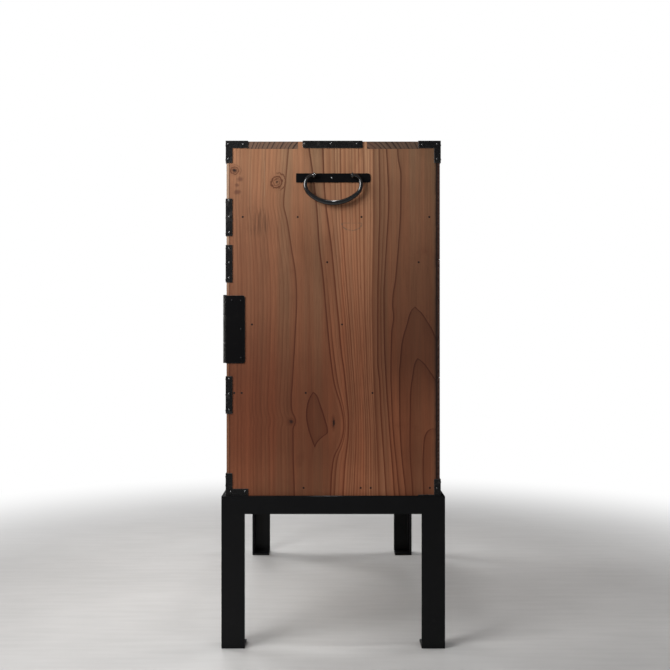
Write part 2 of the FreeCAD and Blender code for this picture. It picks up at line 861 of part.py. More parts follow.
def door_nodes():
    """Framed cupboard door with its hinge leaf, eye and ring."""
    left = door_space[0] + door_gap
    right = door_space[1] - door_gap
    low = door_space[2] + door_gap
    high = door_space[3] - door_gap
    inner_left = left + door_stile
    inner_right = right - door_stile
    inner_low = low + door_stile
    inner_high = high - door_stile
    eye = door_eye_place()
    tongue = door_panel_tongue
    panel_front = (drawer_face + drawer_inside - door_panel_thickness) / 2
    panel = block(
        inner_left - tongue, inner_right + tongue,
        panel_front, panel_front + door_panel_thickness,
        inner_low - tongue, inner_high + tongue,
    )
    bore = shank_hole(eye, drawer_front_thickness)
    members = [
        block(left, inner_left, drawer_face, drawer_inside, low, high).cut(group([panel, bore])),
        block(inner_right, right, drawer_face, drawer_inside, low, high).cut(panel),
        block(inner_left, inner_right, drawer_face, drawer_inside, low, inner_low).cut(panel),
        block(inner_left, inner_right, drawer_face, drawer_inside, inner_high, high).cut(panel),
    ]
    pin = eye_pin(ring_rod, pull_standoff, drawer_front_thickness, True)
    return {
        "door_frame": group(members),
        "door_panel": panel,
        "door_hinge_leaf": door_hinge_leaf(),
        "door_ring_eye": group([pin.translated(eye), washer().translated(eye)]),
        "door_ring": door_ring().translated(eye - BACKWARD * pull_standoff),
    }


def door_hinge_leaf():
    """Hinge leaf on the face of the door, with the middle stretch of the barrel."""
    low = hinge_middle - hinge_height / 2
    high = low + hinge_height
    middle_low = low + barrel_end_length
    middle_high = high - barrel_end_length
    far = hinge_axis.x - barrel_radius - hinge_door_leaf
    near = hinge_axis.x - barrel_radius - iron
    plate = block(far, near, drawer_face - iron, drawer_face, low, high)
    plate = rounded(plate, hinge_corner, BACKWARD, lambda middle: middle.x < far + iron)
    tongue = block(near, hinge_axis.x, drawer_face - iron, drawer_face - pin_fit, middle_low, middle_high)
    outside, bore = barrel(middle_low, middle_high)
    return joined(plate, [tongue, outside]).cut(bore)


# ---------------------------------------------------------------- files

def all_nodes():
    """Every sub-part by name."""
    nodes = {}
    nodes.update(stand_nodes())
    nodes.update(case_nodes())
    nodes.update(fixed_iron_nodes())
    nodes["side_bail_right"] = side_bail()
    nodes["side_bail_left"] = to_left(side_bail())
    nodes.update(all_drawer_nodes())
    nodes.update(door_nodes())
    return nodes


os.makedirs("parts", exist_ok=True)
for node_name, node_shape in all_nodes().items():
    node_shape.exportStep(os.path.join("parts", node_name + ".step"))
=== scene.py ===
"""Small tansu chest on a black steel stand: its wood, its irons, its handles and its studio.

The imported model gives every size. Each class below dresses one part of the chest: it makes eased
copies of the solids, or smooth pieces in their places, and gives each its finish. Metres
throughout, with the front of the chest towards -Y and its right side towards +X.
"""

from __future__ import annotations

import logging
import math
from contextlib import contextmanager
from dataclasses import dataclass, replace
from enum import Enum
from functools import cache, reduce
from typing import Iterable, Iterator, Sequence

import bmesh
import bpy
import numpy as np
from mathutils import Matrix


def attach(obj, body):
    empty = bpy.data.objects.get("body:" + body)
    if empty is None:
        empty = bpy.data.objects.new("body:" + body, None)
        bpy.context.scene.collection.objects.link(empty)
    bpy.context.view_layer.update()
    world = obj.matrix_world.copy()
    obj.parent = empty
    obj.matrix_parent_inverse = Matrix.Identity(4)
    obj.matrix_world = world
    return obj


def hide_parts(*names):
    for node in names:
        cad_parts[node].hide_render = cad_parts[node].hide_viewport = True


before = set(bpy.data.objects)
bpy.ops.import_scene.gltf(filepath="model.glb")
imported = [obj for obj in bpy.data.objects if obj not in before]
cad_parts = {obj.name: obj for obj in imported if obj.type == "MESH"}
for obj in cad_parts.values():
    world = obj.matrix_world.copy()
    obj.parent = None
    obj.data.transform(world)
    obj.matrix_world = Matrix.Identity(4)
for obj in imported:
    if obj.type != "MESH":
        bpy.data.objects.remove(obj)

log = logging.getLogger("tansu")

Material, Mesh, Object, Tree = (
    bpy.types.Material, bpy.types.Mesh, bpy.types.Object, bpy.types.NodeTree)
Colour = tuple[float, float, float]
Point = tuple[float, float, float]
# Points of a curve as thousandths: in, out, in, out and so on.
Curve = Sequence[int]

MILLIMETRE = 0.001
TENTH = 0.0001
TOP = 0.8665
HALF_DEPTH = 0.184
DOOR_MIDDLE = 0.54725
PANEL_HALF_HEIGHT = 0.06695
PANEL_HALF_WIDTH = 0.1012
PANEL_MIDDLE = 0.19345


class Body(str, Enum):
    """Bodies that a piece may ride on; the body of a pull is named after its drawer."""

    CHEST = "chest"
    TOP_DRAWER = "top_drawer"
    SHALLOW_DRAWER = "shallow_drawer"
    UPPER_LEFT_DRAWER = "upper_left_drawer"
    LOWER_LEFT_DRAWER = "lower_left_drawer"
    BOTTOM_DRAWER = "bottom_drawer"
    DOOR = "door"
    DOOR_RING = "door_ring"
    SIDE_BAIL_RIGHT = "side_bail_right"
    SIDE_BAIL_LEFT = "side_bail_left"


class Slot(str, Enum):
    """Names of material slots, listed with the case's boards but given to no piece."""

    CASE = "case_cedar"
    FRONT = "front_cedar"
    INNER = "inner_cedar"
    IRON = "black_iron"
    STAND = "stand_steel"


class Stain(Enum):
    """Colours of marks on the wood, as linear light."""

    HEART = (0.014, 0.006, 0.0042)
    BLEEDING = (0.080, 0.024, 0.016)
    WORN = (0.075, 0.032, 0.016)
    RUBBED = (0.105, 0.085, 0.060)
    SCRATCH = (0.40, 0.25, 0.155)
    DIRT = (0.022, 0.0095, 0.007)
    # Painted shadow in the gap between the side boards and the back boards.
    GAP_SHADOW = (0.010, 0.0045, 0.0035)


class Grain(Enum):
    """Direction of a board's grain, with the two directions across it."""

    ACROSS = (0, 1, 2)
    DEPTH = (1, 0, 2)
    UPRIGHT = (2, 0, 1)


class Turned(Enum):
    """Where a piece has boards whose grain runs across instead, along X."""

    NONE = "none"
    BOX = "faces that look to the front or rear"
    DOOR_RAILS = "door rails between the stiles"


class Facing(Enum):
    """Way that a face looks, as its outward, sideways and upward directions."""

    FRONT = ((0, -1, 0), (1, 0, 0), (0, 0, 1))
    REAR = ((0, 1, 0), (-1, 0, 0), (0, 0, 1))
    RIGHT = ((1, 0, 0), (0, 1, 0), (0, 0, 1))
    LEFT = ((-1, 0, 0), (0, -1, 0), (0, 0, 1))
    UP = ((0, 0, 1), (1, 0, 0), (0, 1, 0))

    def axes(self) -> np.ndarray:
        """Rows sideways, upward and outward."""
        out, side, up = self.value
        return np.array([side, up, out], float)


SIDES = ((Facing.RIGHT, 1), (Facing.LEFT, -1))


# ---- node graphs


class Value:
    """What a node gives out. Sums, differences and products of values are Math nodes."""

    def __init__(self, tree: Tree, socket: bpy.types.NodeSocket) -> None:
        """Keep the socket and the tree that it stands in."""
        self.tree, self.socket = tree, socket

    def math(self, operation: str, *others: Value | float, clamp: bool = False) -> Value:
        """Math node on this value and up to two others."""
        inputs = enumerate((self, *others))
        return make(self.tree, "Math", inputs, operation=operation, use_clamp=clamp)

    def __add__(self, other: Value | float) -> Value:
        """Sum."""
        return self.math("ADD", other)

    def __sub__(self, other: Value | float) -> Value:
        """Difference."""
        return self.math("SUBTRACT", other)

    def __mul__(self, other: Value | float) -> Value:
        """Product."""
        return self.math("MULTIPLY", other)

    def __rsub__(self, other: float) -> Value:
        """A plain number less this value."""
        return self * -1.0 + other

    def __abs__(self) -> Value:
        """Size without the sign."""
        return self.math("ABSOLUTE")

    __radd__, __rmul__ = __add__, __mul__

    def step(self, low: float, high: float, start: float = 0.0, end: float = 1.0) -> Value:
        """Smooth step from start to end as the value goes from low to high."""
        inputs = enumerate((self, low, high, start, end))
        return make(self.tree, "MapRange", inputs, interpolation_type="SMOOTHSTEP")

    def fall(self, low: float, high: float, start: float = 1.0) -> Value:
        """Smooth step from start down to 0."""
        return self.step(low, high, start, 0.0)

    def band(self, rise: float, risen: float, drop: float, dropped: float) -> Value:
        """1 between the two middle limits and 0 outside the outer ones."""
        return self.step(rise, risen) * self.fall(drop, dropped)

    def held(self) -> Value:
        """This value, held between 0 and 1."""
        return self.math("ADD", 0.0, clamp=True)

    def radius(self, other: Value) -> Value:
        """Length of the diagonal over this value and another."""
        return (self * self + other * other).math("SQRT")

    def split(self) -> list[Value]:
        """Three parts of a vector."""
        node = make(self.tree, "SeparateXYZ", ((0, self),)).socket.node
        return [Value(self.tree, part) for part in node.outputs]

    def noise(self, scale: float = 1.0, detail: float = 2.0, rough: float = 0.5) -> Value:
        """Noise at this place: waves per unit, octaves, and the share of each next octave."""
        inputs = {"Vector": self, "Scale": scale, "Detail": detail, "Roughness": rough}
        return make(self.tree, "TexNoise", inputs.items())

    def wobble(self, amount: float, *noise: float) -> Value:
        """Noise at this place that goes as far below 0 as above it."""
        return (self.noise(*noise) - 0.5) * amount

    def scaled(self, factor: Value | float) -> Value:
        """This colour times a grey factor."""
        inputs = ((0, self), ("Scale", factor))
        return make(self.tree, "VectorMath", inputs, operation="SCALE")

    def curve(self, points: Curve, smooth: bool = True) -> Value:
        """Curve through points, flat beyond its ends.

        Args:
            points: Thousandths of the curve.
            smooth: Whether the curve is rounded between its points.

        Returns:
            The curve's height at this value.
        """
        made = make(self.tree, "FloatCurve", (("Value", self),))
        mapping = made.socket.node.mapping
        mapping.use_clip = False
        line = mapping.curves[0]
        while len(line.points) < len(points) // 2:
            line.points.new(0.5, 0.5)
        for knot, x, y in zip(line.points, points[::2], points[1::2]):
            knot.location = (x / 1000, y / 1000)
            knot.handle_type = "AUTO_CLAMPED" if smooth else "VECTOR"
        mapping.update()
        return made


def put(target: bpy.types.NodeSocket, value: Value | float | Sequence[float]) -> None:
    """Link a value to an input, or write plain numbers on it.

    Args:
        target: Input socket.
        value: Value, number, vector or colour.
    """
    if isinstance(value, Value):
        value.tree.links.new(value.socket, target)
    else:
        target.default_value = (*value, 1.0) if target.type == "RGBA" else value


def make(tree: Tree, kind: str, inputs: Iterable = (), output: int | str = 0,
         **settings: str | bool) -> Value:
    """Make one node.

    Args:
        tree: Tree that it stands in.
        kind: Blender's name of the node after "ShaderNode".
        inputs: Pairs of an input's name or number and of what goes into it.
        output: Name or number of the output.
        settings: Settings of the node.

    Returns:
        Value of the output.
    """
    node = tree.nodes.new("ShaderNode" + kind)
    for name, setting in settings.items():
        setattr(node, name, setting)
    for name, value in inputs:
        put(node.inputs[name], value)
    return Value(tree, node.outputs[output])


def highest(first: Value, *others: Value) -> Value:
    """Highest of some values."""
    return reduce(lambda one, other: one.math("MAXIMUM", other), others, first)


def oval(y: Value, z: Value, middle: Sequence[float], half: Sequence[float]) -> Value:
    """Distance from an oval's middle as a share of its half sizes, which is 1 on the oval."""
    across, over = (y - middle[0]) * (1 / half[0]), (z - middle[1]) * (1 / half[1])
    return across.radius(over)


def white_share(tree: Tree, mirrored: float) -> Value:
    """How far a ray sees white surroundings: in full for the camera, and less in gloss.

    Args:
        tree: Tree of the floor or of the world.
        mirrored: Share that gloss sees, which keeps the irons black.

    Returns:
        Share of white.
    """
    camera, through, gloss = (
        make(tree, "LightPath", output=f"Is {ray} Ray")
        for ray in ("Camera", "Transmission", "Glossy"))
    return highest(camera, through, gloss * mirrored)


class Graph:
    """A material's node tree round one shader."""

    def __init__(self, name: str) -> None:
        """Start a material.

        Args:
            name: Name of the material.
        """
        self.material = bpy.data.materials.new(name)
        self.material.use_nodes = True
        self.tree = self.material.node_tree
        self.tree.nodes.clear()
        self.output = self.tree.nodes.new("ShaderNodeOutputMaterial").inputs["Surface"]
        self.surface = make(self.tree, "BsdfPrincipled")
        put(self.output, self.surface)
        self.place = make(self.tree, "TexCoord", output="Object")
        self.normal = make(self.tree, "TexCoord", output="Normal")
        self.x, self.y, self.z = self.place.split()

    def join(self, *parts: Value | float) -> Value:
        """Vector from three parts."""
        return make(self.tree, "CombineXYZ", enumerate(parts))

    def mix(self, share: Value | float, first: Value | Colour, second: Value | Colour,
            blend: str = "MIX") -> Value:
        """Blend of two colours by the share of the second."""
        inputs = zip((0, 6, 7), (share, first, second))
        return make(self.tree, "Mix", inputs, 2, data_type="RGBA", blend_type=blend)

    def bump(self, height: Value, depth: float, strength: float) -> None:
        """Raise the surface by a height between 0 and 1 times the depth in metres."""
        inputs = {"Strength": strength, "Distance": depth, "Height": height}
        put(self.inputs["Normal"], make(self.tree, "Bump", inputs.items()))

    @property
    def inputs(self) -> bpy.types.NodeInputs:
        """Inputs of the shader."""
        return self.surface.socket.node.inputs

    def finish(self, colour: Value, rough: Value | float, specular: float) -> Material:
        """Write the shader's inputs.

        Args:
            colour: Base colour.
            rough: Roughness.
            specular: Specular level.

        Returns:
            The finished material.
        """
        put(self.inputs["Base Color"], colour)
        put(self.inputs["Roughness"], rough)
        put(self.inputs["Specular IOR Level"], specular)
        return self.material


# ---- wood finishes


@dataclass(frozen=True)
class CedarTone:
    """Colours of one kind of cedar surface, as linear light."""

    early: Colour = (0.166, 0.0535, 0.0240)
    late: Colour = (0.082, 0.0185, 0.0070)
    pale: Colour = (0.335, 0.168, 0.089)
    end: Colour = (0.094, 0.067, 0.052)
    end_shade: float = 0.5
    # Share of the pale colour at the top: sun-bleaching, and painted light that falls brighter on
    # the upper part.
    fade: float = 0.6


CASE_TONE = CedarTone()
FRONT_TONE = CedarTone((0.175, 0.068, 0.034), (0.070, 0.022, 0.0105), (0.285, 0.145, 0.082),
                       fade=0.5)
INNER_TONE = CedarTone((0.43, 0.275, 0.165), (0.24, 0.125, 0.066), (0.50, 0.35, 0.23), fade=0.3)
BACK_TONE = CedarTone((0.175, 0.068, 0.036), (0.070, 0.023, 0.012), (0.27, 0.13, 0.073), fade=0.4)


class Cedar(Graph):
    """Old cedar: growth rings, fibres, end grain and a surface that light and hands changed, with
    painted light and shade laid into its colour.
    """

    warm: Colour = (1.05, 0.95, 0.90)
    cool: Colour = (0.96, 1.04, 1.05)
    relief: float = 0.00016
    specular: float = 0.22

    def __init__(self, name: str, grain: Grain, tone: CedarTone,
                 turned: Turned = Turned.NONE) -> None:
        """Start the finish.

        Args:
            name: Name of the material.
            grain: Direction of the grain.
            tone: Colours of the surface.
            turned: Boards of the piece whose grain runs along X instead.
        """
        super().__init__(name)
        self.tone = tone
        place = (self.x, self.y, self.z)
        looks = [abs(part) for part in self.normal.split()]
        ways = [*(place[axis] for axis in grain.value), looks[grain.value[0]]]
        if turned is not Turned.NONE:
            share = self.rails() if turned is Turned.DOOR_RAILS else (
                looks[1].math("GREATER_THAN", 0.7))
            ways = [way + share * (other - way) for way, other in zip(ways, (*place, looks[0]))]
        self.along, self.first, self.second, facing = ways
        self.end = facing.step(0.6, 0.8)

    def rails(self) -> Value:
        """1 on the door's rails, between the stiles above and below the panel, 0 elsewhere."""
        far = abs(self.z - DOOR_MIDDLE).math("GREATER_THAN", PANEL_HALF_HEIGHT)
        return far * abs(self.x - PANEL_MIDDLE).math("LESS_THAN", PANEL_HALF_WIDTH)

    def streaks(self, along: float, across: float) -> Value:
        """Place on the board, drawn out along the grain."""
        return self.join(self.along * along, self.first * across, self.second * across)

    def fibres(self, wide: float) -> Value:
        """Streaks 55 times as long as wide, so many to the metre."""
        return self.streaks(wide / 55, wide).noise(1.0, 3.0, 0.6)

    def colour(self, line: Value, light: Value, tint_and_light_falloff: Value,
               marks: Sequence[tuple[Value, Colour]]) -> Material:
        """Put the whole surface together.

        Args:
            line: How dark the growth line is here, from 0 to 1.
            light: How far the surface is paler, from 0 to 1: sun-bleached wood, and painted light
                that is brighter high up.
            tint_and_light_falloff: Factor on the colour between the lines, which paints shade where
                the light falls off.
            marks: Shares and colours of stains, dirt and rubs that lie over the wood.

        Returns:
            The finished material.
        """
        tone = self.tone
        fine, broad = self.fibres(900.0), self.fibres(110.0)
        cloud = self.place.noise(5.0, 3.0, 0.55)
        base = self.mix(light, tone.early, tone.pale).scaled(tint_and_light_falloff)
        for uneven, low, depth in ((broad, 0.25, 0.10), (cloud, 0.3, 0.12), (fine, 0.25, 0.11)):
            base = base.scaled(uneven.step(low, 1 - low, 1 - depth, 1 + depth))
        hue = self.mix(self.fibres(38.0).step(0.35, 0.65), self.warm, self.cool)
        base = self.mix(1.0, base, hue, "MULTIPLY")
        dark = self.mix(light, tone.late, self.mix(0.18, tone.late, tone.pale)).scaled(tint_and_light_falloff)
        figure = self.mix(line, base, dark)
        fleck = self.streaks(38.0, 1500.0).noise(1.0, 1.0).step(0.66, 0.76, 0.0, 0.35)
        figure = self.mix(fleck, figure, tone.late)
        ends = self.mix(0.6, figure.scaled(tone.end_shade), tone.end)
        figure = self.mix(self.end, figure, ends.scaled(line.step(0.03, 0.42, 1.22, 0.34)))
        stain = self.place.noise(11.0, 4.0, 0.65).step(0.60, 0.78, 0.0, 0.28)
        for share, mark in ((stain, tone.late), *marks):
            figure = self.mix(share, figure, mark)
        self.bump(line * 0.55 + fine * 0.45 + broad * 0.25, self.relief, 0.8)
        rough = fine.step(0.2, 0.8, 0.55, 0.70) + line * -0.06
        return self.finish(figure, rough, self.specular)


@dataclass(frozen=True)
class Flank:
    """Colour of a board's ends where they show beside the case, and its share low and high up."""

    colour: Colour
    low: float
    high: float
    # Whether a painted shadow darkens the gap behind the case.
    gap: bool = False

    def marks(self, cedar: Cedar) -> list[tuple[Value, Colour]]:
        """Colour on the board's ends, with a painted shadow in the gap behind the case where there
        is one.

        Args:
            cedar: Finish of the board.

        Returns:
            Shares and colours.
        """
        outside = abs(cedar.x).step(0.3455, 0.3480)
        share = outside * cedar.z.step(0.50, 0.76, self.low, self.high)
        share = share * cedar.fibres(160.0).step(0.3, 0.7, 0.7, 1.0)
        marks = [(share, self.colour)]
        # Painted shadow in the gap between the side board and the back boards.
        if self.gap:
            marks.append((outside * cedar.y.fall(0.1770, 0.1800, 0.92), Stain.GAP_SHADOW.value))
        return marks


@dataclass(frozen=True)
class LogSawn:
    """Board sawn out of a leaning log, so that its rings cross the face in pointed arches."""

    name: str
    pith: tuple[float, float]
    lean: tuple[float, float]
    seed: float
    spacing: float = 0.0045
    grain: Grain = Grain.ACROSS
    tone: CedarTone = FRONT_TONE
    rear: float = 1.0
    flank: Flank | None = None
    turned: Turned = Turned.NONE

    @cache
    def material(self) -> Material:
        """Make the finish.

        The ring number is the distance from a wandering pith over the spacing, and the line is
        dark just inside each whole ring.

        Returns:
            The finished material.
        """
        cedar = Cedar(self.name, self.grain, self.tone, self.turned)
        along, place = cedar.along, cedar.place
        sway = cedar.join(along * 1.3, self.seed, 0.0).wobble(0.09, 1.0, 1.5)
        nod = cedar.join(along * 1.1, self.seed + 7.0, 3.0).wobble(0.06, 1.0, 1.5)
        u = cedar.first - self.pith[0] + along * self.lean[0] + sway
        v = cedar.second - self.pith[1] + along * self.lean[1] + nod
        ring = u.radius(v) * (1 / self.spacing) + place.wobble(1.6, 3.5, 2.0)
        ring = ring + cedar.join(ring * 0.33, self.seed + 1.0, 0.0).noise(1.0, 1.0) * 1.9
        line = ring.math("FRACT").curve(
            (0, 0, 350, 50, 700, 240, 880, 720, 950, 1000, 1000, 0), False)
        # Paler higher up: sun-bleached wood, and painted light that is brighter near the top.
        faded_and_lit = cedar.z.step(0.25, 0.87, 0.1, self.tone.fade + 0.1)
        drift = place.noise(2.2, 2.0).step(0.35, 0.65, -0.15, 0.15)
        return cedar.colour(
            line * each_ring(ring, 0.35, 0.95), (faded_and_lit + drift).held(),
            # Darker towards the rear by the factor rear: painted shade where the light falls off
            # away from the front.
            cedar.y.step(-0.02, 0.15, 1.0, self.rear),
            self.flank.marks(cedar) if self.flank else [])


def each_ring(ring: Value, low: float, high: float) -> Value:
    """Random strength for each whole ring number."""
    chance = make(ring.tree, "TexWhiteNoise", (("W", ring.math("FLOOR")),), noise_dimensions="1D")
    return chance.step(0.0, 1.0, low, high)


# The figure of the right side board: lines from front to rear, each as the share of the height
# from the top down and the share of the width from the front.
GUIDES: tuple[Curve, ...] = (
    (24, 291, 109, 279, 174, 269, 222, 285, 306, 307, 363, 322, 448, 329, 549, 323, 687, 310, 730,
     305, 761, 309, 789, 324, 814, 313, 871, 314, 995, 319),
    (2, 385, 83, 404, 182, 423, 306, 438, 374, 452, 493, 471, 620, 492, 685, 508, 735, 532, 761,
     543, 803, 552, 826, 548, 857, 532, 891, 506, 927, 496, 995, 490),
    (2, 452, 148, 463, 216, 475, 306, 495, 385, 507, 515, 528, 591, 539, 642, 552, 741, 569, 783,
     574, 837, 571, 913, 557, 995, 548),
    (2, 506, 194, 514, 290, 525, 385, 539, 515, 559, 617, 572, 702, 583, 786, 590, 857, 588, 995,
     576),
    (2, 687, 165, 689, 301, 686, 473, 682, 560, 684, 673, 689, 761, 696, 837, 703, 995, 712),
    (2, 713, 163, 717, 306, 711, 473, 707, 617, 707, 676, 715, 761, 722, 891, 736, 995, 747),
    (2, 746, 75, 754, 163, 759, 205, 758, 278, 750, 366, 741, 431, 736, 580, 738, 718, 750, 803,
     761, 891, 773, 995, 785),
    (2, 799, 44, 802, 98, 815, 182, 815, 250, 810, 374, 793, 462, 777, 493, 781, 538, 772, 654, 769,
     741, 773, 803, 778, 891, 792, 995, 808),
)
RINGS_BETWEEN = (17, 2, 3, 2, 11, 1, 2, 1, 3)
GUIDE_STRENGTH = (0.75, 0.95, 1.0, 0.5, 0.5, 0.8, 0.85, 0.8)
# So many of the lines fade towards the front, and the others towards the rear.
FADING_FORWARD = 4

# Left and right outlines of the pointed arches, and last of the almond.
ARCHES: tuple[tuple[Curve, Curve], ...] = (
    ((465, 885, 473, 869, 483, 858, 515, 843, 549, 826, 580, 816, 617, 811, 654, 806, 741, 808, 826,
      811, 891, 819, 995, 836),
     (465, 885, 473, 897, 483, 915, 512, 948, 531, 966, 555, 984, 589, 1020, 700, 1100)),
    ((611, 897, 617, 888, 628, 880, 664, 869, 707, 859, 772, 856, 848, 855, 995, 869),
     (611, 897, 617, 911, 625, 926, 654, 962, 675, 985, 702, 1020, 800, 1100)),
    ((810, 966, 814, 947, 822, 933, 843, 922, 927, 917, 995, 921),
     (810, 966, 813, 986, 820, 1020, 900, 1100)),
    ((706, 405, 716, 393, 729, 382, 750, 374, 772, 371, 805, 378, 841, 396, 867, 413),
     (706, 405, 716, 425, 744, 443, 777, 461, 820, 477, 831, 459, 850, 427, 867, 413)),
)


@dataclass(frozen=True)
class Knot:
    """Oval knot: its place and half sizes, how dark each part is, and how wide its heart is."""

    y: float
    z: float
    half_width: float
    half_height: float
    core: float
    halo: float
    rings: float
    heart: float
    cap: float = 0.0
    tilt: float = 0.0

    def shade(self, y: Value, z: Value, ragged: Value) -> tuple[Value, Value]:
        """Rings round a dark heart, with a soft halo and a cap at the upper rear.

        Args:
            y, z: Place from front to rear and height, in metres.
            ragged: Noise that breaks the outlines.

        Returns:
            Darkness of the whole knot, and of its heart.
        """
        right, over = y - self.y, z - self.z
        cosine, sine = math.cos(self.tilt), math.sin(self.tilt)
        u = (right * cosine + over * -sine) * (1 / self.half_width)
        v = (right * sine + over * cosine) * (1 / self.half_height)
        far = u.radius(v) + ragged
        rim = highest(far.band(0.76, 0.92, 1.0, 1.18) * self.rings,
                      far.band(0.42, 0.54, 0.58, 0.72) * (self.rings * 0.6),
                      far.band(1.42, 1.54, 1.60, 1.78) * (u + v).step(0.0, 0.9) * self.cap)
        heart = far.fall(0.10, self.heart, self.core)
        halo = far.fall(0.7, 2.3, self.halo * 0.5)
        return highest(halo + rim, heart).held(), heart


KNOTS = (
    Knot(-0.0968, 0.7952, 0.0092, 0.0104, 0.70, 0.55, 0.95, 0.34, 0.85, 0.5),
    Knot(-0.1688, 0.8154, 0.0070, 0.0062, 0.95, 0.8, 0.6, 0.72, 0.4, 0.2),
    Knot(-0.0718, 0.3857, 0.0060, 0.0056, 0.9, 0.8, 0.15, 0.9),
    Knot(0.0009, 0.3840, 0.0030, 0.0120, 1.0, 1.0, 0.1, 1.0),
)


@dataclass(frozen=True)
class SideBoard:
    """Wide side board sawn near the edge of the log, with drawn lines, arches and knots."""

    name: str
    tone: CedarTone = CASE_TONE
    mirrored: bool = False
    front: float = -0.1825
    width: float = 0.365
    top: float = 0.865
    height: float = 0.606
    rub: tuple[float, float] = (0.032, 0.7246)

    @cache
    def material(self) -> Material:
        """Make the finish: lines, arches and knots over each other, with a paler top that is
        sun-bleached and painted light.

        Returns:
            The finished material.
        """
        cedar = Cedar(self.name, Grain.UPRIGHT, self.tone)
        y, z, place = cedar.y, cedar.z, cedar.place
        across, down = (y - self.front) * (1 / self.width), (self.top - z) * (1 / self.height)
        if self.mirrored:
            across, down = across * 1.06 - 0.05, down * 0.86 + 0.07
        traced = across + cedar.join(y * 60.0, z * 7.0, 0.0).wobble(0.006, 1.0, 3.0)
        line = self.islands(self.lines(cedar, traced, down), traced, down)
        ragged = place.wobble(0.75, 230.0, 3.0, 0.6)
        knots, hearts = zip(*(knot.shade(y, z, ragged) for knot in KNOTS))
        marks = [(highest(*hearts), Stain.HEART.value), *self.marks(cedar)]
        return cedar.colour(highest(line, *knots), self.faded_and_lit(place, across, down),
                            self.tint_and_light_falloff(across, down), marks)

    def faded_and_lit(self, place: Value, across: Value, down: Value) -> Value:
        """How far the board is paler, by the height at its front and at its rear: sun-bleached
        wood, and painted light that is brighter high up.

        Args:
            place: Place on the board.
            across, down: Shares of the width from the front and of the height from the top.

        Returns:
            Share of the pale colour.
        """
        # Paleness by height at the front and at the rear: sun-bleached wood, and painted light from
        # above.
        front = down.curve((0, 1000, 50, 960, 165, 700, 264, 500, 350, 430, 450, 380, 560, 220,
                            680, 50, 800, 0, 900, 50, 1000, 150))
        rear = down.curve((0, 1000, 165, 660, 264, 520, 448, 340, 600, 200, 800, 160, 1000, 250))
        side = across.step(0.42, 0.55)
        light = front * (1.0 - side) + rear * side
        return (light + place.wobble(0.2, 3.0)).held()

    def tint_and_light_falloff(self, across: Value, down: Value) -> Value:
        """Factor on the colour: darker towards the rear and changing with the height, painted shade
        and light where the light falls off, and lighter in a worn band in the middle.

        Args:
            across, down: Shares of the width from the front and of the height from the top.

        Returns:
            Factor, 1 for the colour as it is.
        """
        # Darker towards the rear: painted shade where the light falls off away from the front.
        tint_and_light_falloff = across.curve((0, 500, 300, 500, 360, 470, 450, 510, 500, 620, 550, 720, 660, 720,
                             700, 490, 760, 420, 850, 340, 1000, 317))
        # Changes by height, and lighter towards the lower rear: painted light and shade.
        lift = down.curve((0, 490, 300, 500, 450, 490, 560, 455, 700, 450, 870, 465, 955, 530,
                           1000, 530))
        rise = across.step(0.64, 0.76) * down.step(0.60, 0.84, 0.0, 0.72) + 1.0
        worn = down.curve((0, 500, 200, 520, 310, 590, 400, 530, 460, 500, 560, 445, 660, 470,
                           740, 500, 880, 570, 1000, 560))
        rise = rise * (across.band(0.50, 0.56, 0.66, 0.70) * (worn * 2.0 - 1.0) + 1.0)
        return tint_and_light_falloff * lift * rise * 4.0

    def marks(self, cedar: Cedar) -> list[tuple[Value, Colour]]:
        """Reddish bleeding beside a knot, dirt in the seams, a scratch and a half ring worn by
        rubbing.

        Args:
            cedar: Finish of the board.

        Returns:
            Shares and colours.
        """
        y, z, place = cedar.y, cedar.z, cedar.place
        ragged = place.noise(210.0, 3.0, 0.6)
        crumbs = (ragged - 0.5) * 1.1
        bleeding = highest(*(
            (oval(y, z, middle, half) + crumbs).fall(0.3, 1.35, 0.60) for middle, half in (
                ((-0.1595, 0.8004), (0.0055, 0.0048)),
                ((-0.1645, 0.7905), (0.0042, 0.0036)),
                ((-0.1645, 0.7780), (0.0066, 0.0048)))))
        far, v = oval(y, z, self.rub, (0.0176, 0.0122)), z - self.rub[1]
        bow = far.band(0.84, 0.94, 0.98, 1.10) * v.fall(0.0, 0.002)
        lid = far.fall(1.0, 1.2) * abs(v - 0.0008).fall(0.0003, 0.0012, 0.8)
        scratch = abs(y + 0.1175).fall(0.0001, 0.0007, 0.5) * z.band(0.768, 0.775, 0.828, 0.834)
        streaks = cedar.join(y * 420.0, z * 16.0, 5.0).noise(1.0, 3.0, 0.6)
        worn = oval(y, z, (-0.1290, 0.7290), (0.024, 0.026)).fall(0.5, 1.25)
        patchy = cedar.join(0.0, 0.0, z * 40.0).noise().step(0.3, 0.7, 0.55, 1.0)
        seam = highest(y.fall(self.front + 0.0047, self.front + 0.0068, 0.50),
                       y.step(0.1722, 0.1752, 0.0, 0.75))
        return [
            (bleeding, Stain.BLEEDING.value),
            (worn * streaks.step(0.46, 0.62, 0.0, 0.62), Stain.WORN.value),
            (highest(bow, lid) * ragged.step(0.36, 0.56, 0.08, 0.62), Stain.RUBBED.value),
            (scratch, Stain.SCRATCH.value),
            (seam * patchy, Stain.DIRT.value),
        ]

